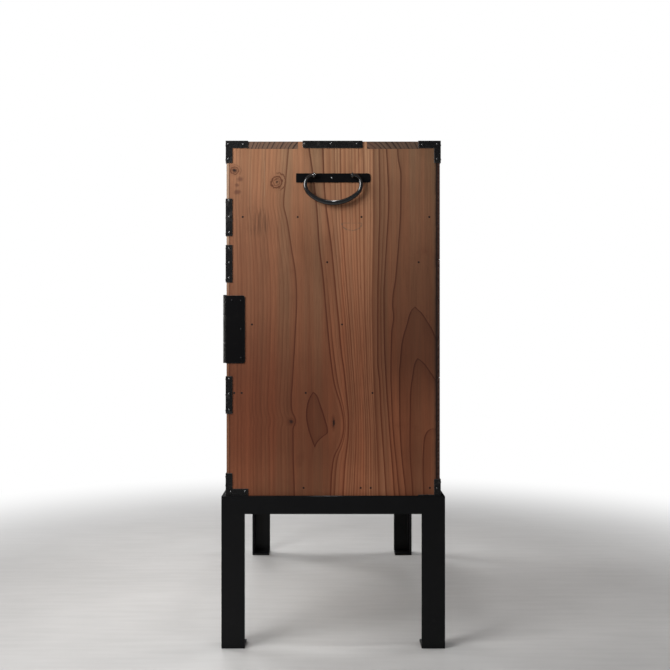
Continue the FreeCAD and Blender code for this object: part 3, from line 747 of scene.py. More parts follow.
    def lines(self, cedar: Cedar, across: Value, down: Value) -> Value:
        """Growth lines: the ring number grows evenly between two guides, which are strong lines.

        Args:
            cedar: Finish of the board.
            across, down: Shares of the width from the front and of the height from the top.

        Returns:
            Darkness of the lines.
        """
        places = [0.0, *(down.curve(guide) for guide in GUIDES), 1.02]
        ring = sum(
            (across - low).math("DIVIDE", high - low, clamp=True) * float(count)
            for count, low, high in zip(RINGS_BETWEEN, places, places[1:]))
        strong = []
        for number, (place, strength) in enumerate(zip(places[1:], GUIDE_STRENGTH)):
            gap = place - across if number < FADING_FORWARD else across - place
            dark = gap.fall(0.0, 0.032, 0.36 * strength) + gap.fall(0.0, 0.0095, 0.95 * strength)
            strong.append(dark * gap.step(-0.0030, 0.0006))
        ring = ring + cedar.join(ring * 0.45, 4.0, 0.0).wobble(1.1, 1.0, 1.0)
        part = abs(ring.math("FRACT") - across.step(0.63, 0.64))
        shape = part.curve((0, 30, 350, 80, 620, 450, 800, 950, 930, 1000, 1000, 100), False)
        weight = across.curve((0, 360, 260, 400, 330, 160, 460, 280, 520, 950, 680, 950, 750, 380,
                               820, 140, 1000, 140))
        fine = shape * each_ring(ring, 0.45, 1.0) * weight
        return highest(fine, *strong).held()

    def islands(self, line: Value, across: Value, down: Value) -> Value:
        """Arches and almond: each is dark along its outline and fades towards its middle.

        Args:
            line: Darkness of the growth lines.
            across, down: Shares of the width from the front and of the height from the top.

        Returns:
            Darkness with the arches laid over.
        """
        for left, right in ARCHES:
            depth = (across - down.curve(left)).math("MINIMUM", down.curve(right) - across)
            wash = depth.step(0.0, 0.075, 0.46 if left is ARCHES[-1][0] else 0.36, 0.12)
            outline = depth.step(0.0, 0.0028) * (depth.fall(0.0, 0.012, 0.95) + wash)
            line = highest(line * depth.step(0.0, 0.003, 1.0, 0.55), outline)
        return line


# ---- metal and small finishes


@dataclass(frozen=True)
class ForgedIron:
    """Black forged iron: hammer marks, a thin oiled skin, and pale metal on the eased edges, which
    is wear and a painted highlight where light catches them.
    """

    name: str
    colour: Colour = (0.0045, 0.0043, 0.0046)
    worn: Colour = (0.016, 0.015, 0.0145)
    hammer: float = 300.0
    depth: float = 0.00020
    rough: float = 0.28
    specular: float = 0.26
    worn_and_glint_specks: float = 0.0
    # Share of pale metal on the eased edges: wear, and a painted highlight where light catches
    # them.
    rubbed_edge_highlight: float = 0.0
    bare_edge_highlight: Colour = (0.105, 0.102, 0.097)

    @cache
    def material(self) -> Material:
        """Make the finish: hammer marks are rounded cells, and worn spots follow a broad noise;
        fine light spots on the hammered iron are painted glints as well as wear.

        Returns:
            The finished material.
        """
        graph = Graph(self.name)
        place = graph.place
        cells = (("Vector", place), ("Scale", self.hammer))
        dents, pits = make(graph.tree, "TexVoronoi", cells), place.noise(1900.0, 2.0)
        worn = place.noise(90.0, 4.0, 0.65).step(0.52, 0.72)
        # Fine light spots in the worn colour: worn metal, and painted glints where the hammer dents
        # would catch the light.
        if self.worn_and_glint_specks:
            worn = highest(worn, place.noise(620.0, 1.0).step(0.56, 0.68, 0.0, self.worn_and_glint_specks))
        graph.bump(dents + pits * 0.25, self.depth, 0.7)
        colour = graph.mix(worn * 0.6, self.colour, self.worn)
        # Pale metal on the eased edges, found by the normal: wear, and a painted highlight where
        # light catches the edges.
        if self.rubbed_edge_highlight:
            square = highest(*(abs(part) for part in graph.normal.split()))
            uneven = place.noise(240.0, 2.0).step(0.35, 0.6, 0.3, self.rubbed_edge_highlight)
            colour = graph.mix(square.fall(0.95, 0.97) * uneven, colour, self.bare_edge_highlight)
        rough = pits.step(0.3, 0.7, self.rough - 0.07, self.rough + 0.09) + worn * -0.05
        return graph.finish(colour, rough, self.specular)


# Its light worn colour and spots stand in partly for painted glints on the hammered iron, and its
# edges carry a painted highlight.
HAMMERED = ForgedIron("black_iron_hammered", worn=(0.050, 0.046, 0.044), worn_and_glint_specks=0.8, rubbed_edge_highlight=0.8)
PLATE = ForgedIron(
    "black_iron_plain", colour=(0.0034, 0.0032, 0.0036), worn=(0.008, 0.0076, 0.0072),
    hammer=140.0, depth=0.00003, rough=0.32, specular=0.11, rubbed_edge_highlight=0.9)
HINGE_NAIL = replace(PLATE, name="black_iron_hinge_nails", specular=0.16, rubbed_edge_highlight=0.0)
NAIL = ForgedIron(
    "nail_iron", colour=(0.012, 0.012, 0.012), worn=(0.10, 0.098, 0.094), hammer=900.0,
    depth=0.00003, rough=0.20, specular=1.0)
HANDLE = ForgedIron(
    "black_iron_handles", colour=(0.0042, 0.0042, 0.0046), worn=(0.020, 0.0195, 0.019),
    hammer=420.0, depth=0.00004, rough=0.15, specular=0.8)
PULL = ForgedIron(
    "black_iron_pulls", colour=(0.0046, 0.0046, 0.0050), worn=(0.022, 0.0215, 0.021),
    hammer=420.0, depth=0.00004, rough=0.25, specular=0.6)
# The eyes' light worn colour is wear, and also paints the glints that light makes on the pins.
EYE = ForgedIron(
    "black_iron_eyes", worn=(0.10, 0.098, 0.094), hammer=520.0, depth=0.00004, rough=0.18,
    specular=1.0)


@dataclass(frozen=True)
class StandPaint:
    """Satin black paint on welded steel angle, with a fine peel and a few dull scuffs."""

    name: str = "stand_black_paint"
    colour: Colour = (0.0046, 0.0047, 0.0052)
    scuff: Colour = (0.011, 0.011, 0.0115)

    @cache
    def material(self) -> Material:
        """Make the finish: the peel is a fine noise, and scuffs gather near the floor.

        Returns:
            The finished material.
        """
        graph = Graph(self.name)
        place = graph.place
        scuffs = place.noise(60.0, 5.0, 0.7).step(0.55, 0.75) * graph.z.step(0.0, 0.12, 1.0, 0.25)
        rough = place.noise(9.0, 4.0, 0.6).step(0.3, 0.7, 0.30, 0.38) + scuffs * 0.12
        graph.bump(place.noise(520.0, 2.0), 0.00004, 0.5)
        return graph.finish(graph.mix(scuffs, self.colour, self.scuff), rough, 0.15)


@dataclass(frozen=True)
class PegEnd:
    """End grain of a small wooden peg, darkened by oil and dirt."""

    name: str = "peg_end_grain"
    colour: Colour = (0.010, 0.0050, 0.0035)
    speckle: Colour = (0.030, 0.014, 0.0085)

    @cache
    def material(self) -> Material:
        """Make the finish with its fine dark speckle.

        Returns:
            The finished material.
        """
        graph = Graph(self.name)
        speckle = graph.place.noise(1400.0, 2.0)
        colour = graph.mix(speckle.step(0.3, 0.7, 0.0, 0.6), self.colour, self.speckle)
        graph.bump(speckle, 0.0001, 0.6)
        return graph.finish(colour, 0.7, 0.25)


Finish = SideBoard | LogSawn | ForgedIron | StandPaint | PegEnd


# ---- shapes


class Pieces:
    """Surfaces gathered into one mesh."""

    def __init__(self) -> None:
        """Start with nothing."""
        self.vertices: list[np.ndarray] = []
        self.faces: list[np.ndarray] = []
        self.count = 0

    def grid(self, points: np.ndarray, closed: bool = False) -> None:
        """Add a grid of points as four-sided faces; the last column joins the first.

        Args:
            points: Array of rows, columns and three parts.
            closed: Whether the last row joins the first.
        """
        rows, columns = points.shape[:2]
        i, j = np.meshgrid(np.arange(rows - (not closed)), np.arange(columns), indexing="ij")
        here, after, beside = i * columns, (i + 1) % rows * columns, (j + 1) % columns
        quads = np.stack([here + j, here + beside, after + beside, after + j], -1)
        self.vertices.append(points.reshape(-1, 3))
        self.faces.append(quads.reshape(-1, 4) + self.count)
        self.count += rows * columns

    def turn(self, profile: Sequence[tuple[float, float]], base: np.ndarray, axes: np.ndarray,
             sides: int, closed: bool = False) -> None:
        """Add a turned shape: each profile point goes round the axis at its radius and height.

        Args:
            profile: Pairs of radius and height along the axis.
            base: Point on the axis at height 0.
            axes: Rows of two directions across the axis and the axis itself.
            sides: Points round the axis.
            closed: Whether the profile's last point joins its first.
        """
        shape = np.array(profile, float)[:, None]
        ring = circle(sides) @ np.array(axes[:2])
        self.grid(base + shape[..., :1] * ring + shape[..., 1:] * axes[2], closed)

    def rod(self, path: np.ndarray, outward: np.ndarray, across: np.ndarray, radius: np.ndarray,
            sides: int, closed: bool = False, flat: float = 1.0) -> None:
        """Add a rod: at each point of the path a circle of the given radius stands across it.

        Args:
            path: Points of the centre line.
            outward: First direction across the path, one or one for each point.
            across: Second direction across the path.
            radius: Radius at each point.
            sides: Points round the rod.
            closed: Whether the rod's end joins its start.
            flat: Share of the radius along the second direction.
        """
        way = circle(sides)
        ring = way[:, :1] * np.atleast_2d(outward)[:, None] + flat * way[:, 1:] * across
        self.grid(path[:, None] + radius[:, None, None] * ring, closed)

    def object(self, name: str) -> Object:
        """Make the object, with doubles merged and faces outwards.

        Args:
            name: Name of the object.

        Returns:
            The new object.
        """
        mesh = bpy.data.meshes.new(name)
        faces = np.concatenate(self.faces).tolist()
        mesh.from_pydata(np.concatenate(self.vertices).tolist(), [], faces)
        with edited(mesh) as work:
            bmesh.ops.remove_doubles(work, verts=work.verts, dist=2e-7)
            bmesh.ops.dissolve_degenerate(work, edges=work.edges, dist=1e-7)
            bmesh.ops.recalc_face_normals(work, faces=work.faces)
        mesh.shade_smooth()
        mesh.set_sharp_from_angle(angle=math.radians(40))
        return placed(name, mesh)


def circle(sides: int) -> np.ndarray:
    """Cosine and sine of so many even angles."""
    angle = 2 * np.pi * np.arange(sides) / sides
    return np.stack([np.cos(angle), np.sin(angle)], 1)


def placed(name: str, data: bpy.types.ID) -> Object:
    """Put a mesh, lamp or camera into the scene.

    Args:
        name: Name of the object.
        data: What it shows.

    Returns:
        The new object.
    """
    made = bpy.data.objects.new(name, data)
    bpy.context.scene.collection.objects.link(made)
    return made


@contextmanager
def edited(mesh: Mesh) -> Iterator[bmesh.types.BMesh]:
    """Open a mesh for editing, and write it back afterwards.

    Args:
        mesh: The mesh.

    Yields:
        Its editable form.
    """
    work = bmesh.new()
    work.from_mesh(mesh)
    yield work
    work.to_mesh(mesh)
    work.free()


def clean(mesh: Mesh) -> None:
    """Merge loose triangles and make flat faces whole.

    Args:
        mesh: The mesh.
    """
    with edited(mesh) as work:
        bmesh.ops.remove_doubles(work, verts=work.verts, dist=2e-6)
        bmesh.ops.dissolve_limit(
            work, angle_limit=math.radians(0.6), verts=work.verts, edges=work.edges)


def settle(piece: Object) -> None:
    """Put the piece's modifiers into its mesh.

    Args:
        piece: The object.
    """
    bpy.context.view_layer.update()
    shown = piece.evaluated_get(bpy.context.evaluated_depsgraph_get())
    whole = bpy.data.meshes.new_from_object(shown)
    piece.modifiers.clear()
    piece.data = whole


def merged_copy(nodes: Sequence[str], name: str) -> Object:
    """Copy of one or more nodes as one skin, with its flat faces made whole.

    Args:
        nodes: Names of the nodes.
        name: Name of the copy.

    Returns:
        The new object.
    """
    copies = []
    for node in nodes:
        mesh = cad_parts[node].data.copy()
        mesh.name = name
        clean(mesh)
        copies.append(placed(name, mesh))
    first, *others = copies
    for other in others:
        union = first.modifiers.new("union", "BOOLEAN")
        union.operation, union.solver, union.object = "UNION", "EXACT", other
    if others:
        settle(first)
        clean(first.data)
    for other in others:
        bpy.data.objects.remove(other)
    return first


def eased(piece: Object, width: float) -> Object:
    """Round the piece's edges by a bevel of two faces, and shade it smoothly only where faces meet
    at less than 15 degrees.

    Args:
        piece: Object to finish.
        width: Width of the bevel in metres.

    Returns:
        The same object.
    """
    bevel = piece.modifiers.new("eased_edges", "BEVEL")
    bevel.width, bevel.segments = width, 2
    bevel.limit_method, bevel.angle_limit = "ANGLE", math.radians(32)
    settle(piece)
    piece.data.shade_smooth()
    piece.data.set_sharp_from_angle(angle=math.radians(15))
    return piece


def dress(piece: Object, finish: Finish, body: Body | str,
          nodes: Sequence[str] = ()) -> None:
    """Give a piece its finish, its body and the nodes that it stands for.

    Args:
        piece: Finished piece.
        finish: Its finish.
        body: Body that it rides on.
        nodes: Nodes of the model that it replaces.
    """
    piece.data.materials.clear()
    piece.data.materials.append(finish.material())
    name = str(getattr(body, "value", body))
    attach(piece, name)
    if nodes:
        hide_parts(*nodes)
    log.info("%s rides on %s, %d faces", piece.name, name, len(piece.data.polygons))


def clad(nodes: Sequence[str], name: str, edge: float, finish: Finish,
         body: Body = Body.CHEST) -> None:
    """Dress an eased copy of one or more nodes.

    Args:
        nodes: Names of the nodes.
        name: Name of the copy.
        edge: Width of its eased edges.
        finish: Its finish.
        body: Body that it rides on.
    """
    dress(eased(merged_copy(nodes, name), edge), finish, body, nodes)


# ---- wooden parts


@dataclass
class Case:
    """Boards of the case with their box joints, the facing strips, shelves and back."""

    edge: float = 0.00035
    soft_edge: float = 0.0007
    soft: tuple[str, ...] = ("base_rail", "cupboard_shelf")
    outside: float = 0.34845
    peg_rows: tuple[tuple[float, tuple[float, ...]], ...] = (
        (735.8, (-154.8, -60.7, 48.4, 164.4)),
        (658.4, (-10.3, 146.1)),
        (551.9, (-139.0, 15.1)),
        (434.8, (-169.5, -156.6, -47.0, 67.1)),
        (272.3, (-50.6, 47.0, 64.1, 165.4)),
    )

    def build(self) -> None:
        """Dress every board of the case."""
        lid = CedarTone(end_shade=0.59, fade=0.75)
        # Pale outer face of the facing strips, more so higher up: wear, and a painted highlight
        # where light catches the strips' edge.
        ends = Flank((0.52, 0.36, 0.25), 0.0, 0.75)
        # Dark ends of the back boards, with a painted shadow in the gap behind the side boards.
        back_ends_gap_shadow = Flank((0.040, 0.011, 0.007), 0.75, 0.90, gap=True)
        for slot, finish, nodes in (
            (Slot.CASE, SideBoard("cedar_side_right"), "side_board_right"),
            (Slot.CASE, SideBoard("cedar_side_left", mirrored=True), "side_board_left"),
            # The lid is darker towards the rear by rear=0.68: painted shade where the light falls
            # off.
            (Slot.CASE, LogSawn("cedar_top", (0.02, 0.80), (0.02, 0.03), 2.0, spacing=0.0066,
                                tone=lid, rear=0.68), "top_board"),
            (Slot.FRONT, LogSawn("cedar_strips", (0.2, -0.3), (0.03, 0.02), 5.0, spacing=0.004,
                                 grain=Grain.UPRIGHT, flank=ends), "front_facing_strips"),
            (Slot.FRONT, LogSawn("cedar_base_rail", (0.0, 0.24), (0.05, 0.03), 17.0),
             "base_rail"),
            (Slot.INNER, LogSawn("cedar_back", (0.10, 0.60), (0.03, 0.10), 9.0, spacing=0.0075,
                                 tone=BACK_TONE, flank=back_ends_gap_shadow), "back_boards"),
            (Slot.INNER, LogSawn("cedar_shelf", (-0.3, 0.2), (0.04, 0.05), 15.0),
             "shelf_under_top_drawer shelf_over_cupboard shelf_under_cupboard left_drawer_shelf"),
            (Slot.INNER, LogSawn("cedar_divider", (0.1, -0.3), (0.04, 0.04), 19.0,
                                 grain=Grain.UPRIGHT), "cupboard_divider"),
            (Slot.INNER, LogSawn("cedar_inner", (0.05, 0.3), (0.05, 0.05), 12.0, spacing=0.006,
                                 tone=INNER_TONE), "cupboard_shelf bottom_board"),
        ):
            for node in nodes.split():
                edge = self.soft_edge if node in self.soft else self.edge
                clad([node], f"{node}_wood", edge, finish)
        self.pegs()

    def pegs(self) -> None:
        """Drive small pegs that hold the shelves and stand hardly proud of both sides."""
        pegs = Pieces()
        profile = ((0, -4), (18, -4), (18, 0.2), (14, 1), (0, 1.4))
        for (facing, side), shift in zip(SIDES, (0.0, 0.007)):
            for z, row in self.peg_rows:
                for y in np.array(row) * MILLIMETRE:
                    base = np.array((side * self.outside, y + shift * np.sin(900 * y),
                                     z * MILLIMETRE))
                    pegs.turn(np.array(profile) * TENTH, base, facing.axes(), 10)
        dress(pegs.object("shelf_pegs"), PegEnd(), Body.CHEST)


@dataclass
class DrawerSet:
    """Five drawers, each with its own board for a front."""

    edge: float = 0.0009

    def build(self) -> None:
        """Dress each drawer's front and box."""
        box = LogSawn("cedar_drawer_box", (0.48, 0.40), (0.10, 0.05), 31.0, spacing=0.0075,
                      grain=Grain.DEPTH, tone=INNER_TONE, turned=Turned.BOX)
        for number, (body, pith, lean) in enumerate((
            (Body.TOP_DRAWER, (-0.15, 0.765), (0.03, 0.035)),
            (Body.SHALLOW_DRAWER, (-0.13, 0.735), (0.05, -0.02)),
            (Body.UPPER_LEFT_DRAWER, (-0.12, 0.62), (0.10, 0.02)),
            (Body.LOWER_LEFT_DRAWER, (-0.13, 0.45), (0.06, 0.05)),
            (Body.BOTTOM_DRAWER, (-0.14, 0.40), (0.02, -0.05)),
        )):
            name = body.value
            front = LogSawn(f"cedar_{name}", pith, lean, 40.0 + 3 * number, spacing=0.0062)
            clad([f"{name}_front"], f"{name}_face", self.edge, front, body)
            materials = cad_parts[f"{name}_box"].data.materials
            materials.clear()
            materials.append(box.material())


@dataclass
class Door:
    """Framed cupboard door with its panel."""

    frame_edge: float = 0.0008
    panel_edge: float = 0.0003

    def build(self) -> None:
        """Dress the frame and the panel."""
        stiles = LogSawn("cedar_door_frame", (0.19, -0.35), (0.02, 0.03), 61.0, spacing=0.0042,
                         grain=Grain.UPRIGHT, turned=Turned.DOOR_RAILS)
        panel = LogSawn("cedar_door_panel", (0.19, -0.145), (0.03, 0.05), 65.0, spacing=0.0070,
                        grain=Grain.UPRIGHT)
        for node, finish, edge in (("door_frame", stiles, self.frame_edge),
                                   ("door_panel", panel, self.panel_edge)):
            clad([node], f"{node}_wood", edge, finish, Body.DOOR)


# ---- irons and nails


@dataclass
class Irons:
    """Corner irons, straps, handle plates and hinge leaves, with their nails."""

    edge: float = 0.0004
    plate_edge: float = 0.0006
    outer: float = 0.34995
    leaf_face: float = 0.183
    sunk: float = 0.0003
    nail_radius: float = 0.0022
    nail_height: float = 0.0014
    hinge_nail_height: float = 0.0007
    nail_foot: float = -0.0003

    def build(self) -> None:
        """Dress the irons and drive their nails."""
        for node in ("top_corner_irons", "bottom_corner_irons", "top_edge_straps",
                     "front_edge_straps", "side_handle_plates", "hinge_case_leaf", "hinge_pin",
                     "door_hinge_leaf"):
            piece = merged_copy([node], f"{node}_iron")
            if node.startswith("top"):
                self.sink(piece.data)
            finish = HAMMERED if node.endswith(("irons", "straps")) else PLATE
            edge = self.plate_edge if node == "side_handle_plates" else self.edge
            body = Body.DOOR if node.startswith("door") else Body.CHEST
            dress(eased(piece, edge), finish, body, [node])
        self.case_nails()
        self.hinge_nails()

    def sink(self, mesh: Mesh) -> None:
        """Lower the top leaves a little, so that nails on them stay level with the chest's height.

        Args:
            mesh: Mesh of the irons.
        """
        places = np.empty(len(mesh.vertices) * 3, np.float32)
        mesh.vertices.foreach_get("co", places)
        height = places[2::3]
        height[height > TOP - TENTH] -= np.float32(self.sunk)
        mesh.vertices.foreach_set("co", places)
        mesh.update()

    def drive(self, nails: Pieces, facing: Facing, height: float, x: float,
              *places: Sequence[float]) -> None:
        """Drive nails with domed heads, each a half oval turned about its shank.

        Args:
            nails: Mesh that gathers the nails.
            facing: Way that the iron's surface looks.
            height: Height of the dome.
            x: Sign of the side.
            places: Points on the surface, for the right side of the chest, in millimetres.
        """
        angle = np.linspace(0, np.pi / 2, 5)
        dome = np.stack([self.nail_radius * np.cos(angle), height * np.sin(angle)], 1)
        dome[-1, 0] = 0.0
        foot = [(0.0, self.nail_foot), (self.nail_radius, self.nail_foot)]
        for place in places:
            base = np.array(place) * (x * MILLIMETRE, MILLIMETRE, MILLIMETRE)
            nails.turn([*foot, *dome], base, facing.axes(), 12)

    def case_nails(self) -> None:
        """Drive the nails of all irons on the case."""
        nails = Pieces()
        outer, face, lid = (size / MILLIMETRE for size in (self.outer, HALF_DEPTH, TOP - self.sunk))
        for facing, side in SIDES:
            rows, extra = (431.3, 655.9, 735.2), ()
            if side < 0:
                rows, extra = (*rows, 547.3), ((-177.6, 572.0), (-177.8, 547.0), (-177.6, 522.5))
            straps = [(342.0, row + step) for row in rows for step in (-27, 0, 27)]
            for way, places in (
                (facing, [(outer, y, z) for y, z in (*SIDE_NAILS, *extra)]),
                (Facing.FRONT, [(x, -face, z) for x, z in (*straps, *FRONT_NAILS)]),
                (Facing.REAR, [(x, face, z) for x, z in REAR_NAILS]),
            ):
                self.drive(nails, way, self.nail_height, side, *places)
            on_top = [(x, y, lid) for x, y in TOP_NAILS]
            self.drive(nails, Facing.UP, self.sunk - 0.00002, side, *on_top)
        dress(nails.object("case_nails"), NAIL, Body.CHEST)

    def hinge_nails(self) -> None:
        """Drive the flat black nails of both leaves of the door's hinge."""
        outer, face = self.outer / MILLIMETRE, self.leaf_face / MILLIMETRE
        on_case = [(outer, y, z) for y, z in (
            (-172.7, 593.0), (-157.2, 592.1), (-157.2, 543.5), (-157.2, 494.6))]
        on_door = [(x, -face, z) for x, z in (
            (301.0, 592.5), (301.0, 543.5), (301.0, 494.5), (320.0, 592.5), (320.0, 494.5))]
        for name, body, facing, places in (
            ("hinge_case_nails", Body.CHEST, Facing.RIGHT, on_case),
            ("door_nails", Body.DOOR, Facing.FRONT, on_door),
        ):
            nails = Pieces()
            self.drive(nails, facing, self.hinge_nail_height, 1, *places)
            dress(nails.object(name), HINGE_NAIL, body)


# Places of the nails in millimetres: Y and Z on the sides, X and Z on the front and the rear, and
# X and Y on the lid.
SIDE_NAILS = (
    (-179.2, 860.6), (-153.7, 860.2), (-179.2, 834.9), (152.4, 859.6), (177.5, 834.9),
    (177.8, 860.4), (-48.6, 861.0), (-3.8, 861.0), (41.1, 861.0), (-177.7, 764.1),
    (-177.9, 735.9), (-177.6, 709.2), (-177.7, 682.0), (-177.5, 657.9), (-177.8, 631.6),
    (-177.6, 458.9), (-177.8, 433.5), (-177.6, 406.2), (-175.1, 266.0), (-150.8, 266.3),
    (177.6, 272.0), (-1.9, 802.4),
)
FRONT_NAILS = (
    (342.0, 859.4), (342.0, 834.9), (342.0, 275.5), (342.0, 290.5), (318.0, 859.4), (317.5, 265.2),
)
REAR_NAILS = ((318.0, 859.4), (342.0, 859.4), (342.0, 834.9), (342.0, 266.0), (342.0, 281.0))
TOP_NAILS = (
    (343.0, -176.8), (343.0, -153.0), (318.0, -176.8), (343.0, 176.8), (343.0, 153.0),
    (318.0, 176.8), (338.5, -40.0), (338.5, 1.2), (338.5, 42.5),
)


# ---- handles


@dataclass(frozen=True)
class Bail:
    """Forged bail: straight ends in the eyes, tight shoulders, and half an oval that swells."""

    half_span: float
    drop: float
    rod: float
    belly: float
    limb: float
    stub: float = 0.0048
    shoulder_share: float = 0.26
    side_share: float = 0.46
    fall_share: float = 0.26
    sides: int = 16
    heads: tuple[tuple[float, float], ...] = (
        (0.0012, 0.0), (0.0011, 0.55), (0.0007, 0.95), (0.0002, 1.12))

    @property
    def eye_place(self) -> float:
        """Distance of each eye from the middle."""
        return self.half_span * (1 - self.shoulder_share) - self.stub / 2

    def half_line(self) -> tuple[np.ndarray, np.ndarray]:
        """Right half of the centre line.

        A straight stub, a quarter oval down, a tight arc, and a wide arc to the lowest point.

        Returns:
            Points and outward directions in the bail's own plane, as sideways and upward parts.
        """
        shares = self.shoulder_share, self.side_share, self.fall_share
        shoulder, side, fall = (share * self.half_span for share in shares)
        depth, inset = self.drop - fall, self.half_span - side
        wide = (inset**2 + depth**2 - side**2) / (2 * (depth - side))
        meeting = math.atan2(wide - depth, inset)
        end = self.half_span - shoulder
        stub = np.linspace(end - self.stub, end, 3)[:-1]
        points, outward = [np.stack([stub, 0 * stub], 1)], [np.tile((0.0, 1.0), (2, 1))]
        for centre, radii, start, stop, count in (
            ((end, -fall), (shoulder, fall), math.pi / 2, 0.0, 12),
            ((inset, -fall), (side, side), 0.0, -meeting, 16),
            ((0.0, wide - self.drop), (wide, wide), -meeting, -math.pi / 2, 15),
        ):
            angle = np.linspace(start, stop, count + 1)[int(start <= 0):]
            way = np.stack([np.cos(angle), np.sin(angle)], 1)
            points.append(np.array(centre) + np.array(radii) * way)
            normal = way / np.array(radii)
            outward.append(normal / np.linalg.norm(normal, axis=1, keepdims=True))
        return np.concatenate(points), np.concatenate(outward)

    def add(self, pieces: Pieces, middle: Sequence[float], facing: Facing) -> None:
        """Add the bail hanging from its pivots.

        The radius grows from the rod's to the limb's in the shoulders, and from there with the
        square of the depth to the belly's. Each end is hammered out into a small round head.

        Args:
            pieces: Mesh that gathers the bail.
            middle: Point midway between the pivots.
            facing: Way that the face behind it looks.
        """
        axes = facing.axes()
        line, way = (np.concatenate([half, half[-2::-1] * (-1, 1)]) for half in self.half_line())
        fall = self.fall_share * self.half_span
        depth = np.clip((-line[:, 1] - fall) / (self.drop - fall), 0, None)
        swell = np.clip(-line[:, 1] / fall, 0, 1)
        swell = swell * swell * (3 - 2 * swell)
        radius = self.rod + (self.limb - self.rod) * swell + (self.belly - self.limb) * depth**2
        heads = np.array(self.heads)
        ahead = np.stack([line[0, 0] - heads[:, 0], 0 * heads[:, 0]], 1)
        line = np.concatenate([ahead, line, ahead[::-1] * (-1, 1)])
        flat = np.tile((0.0, 1.0), (len(heads), 1))
        way = np.concatenate([flat, way, flat])
        ends = self.rod * heads[:, 1]
        path = np.array(middle, float) + line @ axes[:2]
        radius = np.concatenate([ends, radius, ends[::-1]])
        pieces.rod(path, way @ axes[:2], axes[2], radius, self.sides)


@dataclass(frozen=True)
class EyePin:
    """Forged eye that a rod turns in, on a neck, with a domed washer and a clinched tail."""

    rod: float
    standoff: float
    washer: bool = True
    thickness: float = 0.003
    rim: float = 0.0020
    fit: float = 0.0002
    clinch: float = 0.0165
    soft: float = 0.0006
    bury: float = 0.0004
    crown: tuple[tuple[float, float], ...] = (
        (0, -2), (98, -2), (100, 3), (98, 8), (88, 13.5), (80, 14), (76, 11), (72, 14.5), (52, 19),
        (0, 21))

    def add(self, pieces: Pieces, place: Sequence[float], facing: Facing) -> None:
        """Add one eye.

        The ring is a rounded oblong section turned about the rod, the neck a waisted round bar,
        and the washer a low dome with a turned groove near its rim.

        Args:
            pieces: Mesh that gathers the eyes.
            place: Point on the face below the eye's middle, at the height of the pivot.
            facing: Way that the face looks.
        """
        axes = facing.axes()
        side, up, out = axes
        base = np.array(place, float)
        hole = self.rod + self.fit
        middle, half = hole + self.rim / 2, self.thickness / 2
        corners = np.array([(1, 1), (-1, 1), (-1, -1), (1, -1)])
        angle = np.pi * (np.arange(4)[:, None] / 2 + (0, 0.25, 0.5))
        round_corner = self.soft * np.stack([np.cos(angle), np.sin(angle)], -1)
        size = (self.rim / 2 - self.soft, half - self.soft)
        section = ((middle, 0) + (corners * size)[:, None] + round_corner).reshape(-1, 2)
        pieces.turn(section, base + out * self.standoff, np.array([out, up, side]), 28, True)
        neck = self.standoff - hole - self.bury
        profile = [(0.0, -self.bury), (0.0027, -self.bury), (0.0026, 0.001),
                   (0.0021, neck * 0.45), (0.0021, neck * 0.75), (0.0024, neck), (0.0, neck)]
        pieces.turn(profile, base, axes, 14)
        if self.washer:
            pieces.turn(np.array(self.crown) * TENTH, base, axes, 40)
            height = np.linspace(-0.009, 0.009, 9)
            taper = 0.0016 * np.sqrt(np.clip(1 - (np.abs(height) / 0.00905) ** 6, 0.0, 1))
            taper[[0, -1]] = 0.0
            path = base - out * (self.clinch - 0.00078) + height[:, None] * up
            pieces.rod(path, side, out, taper, 12, flat=0.45)


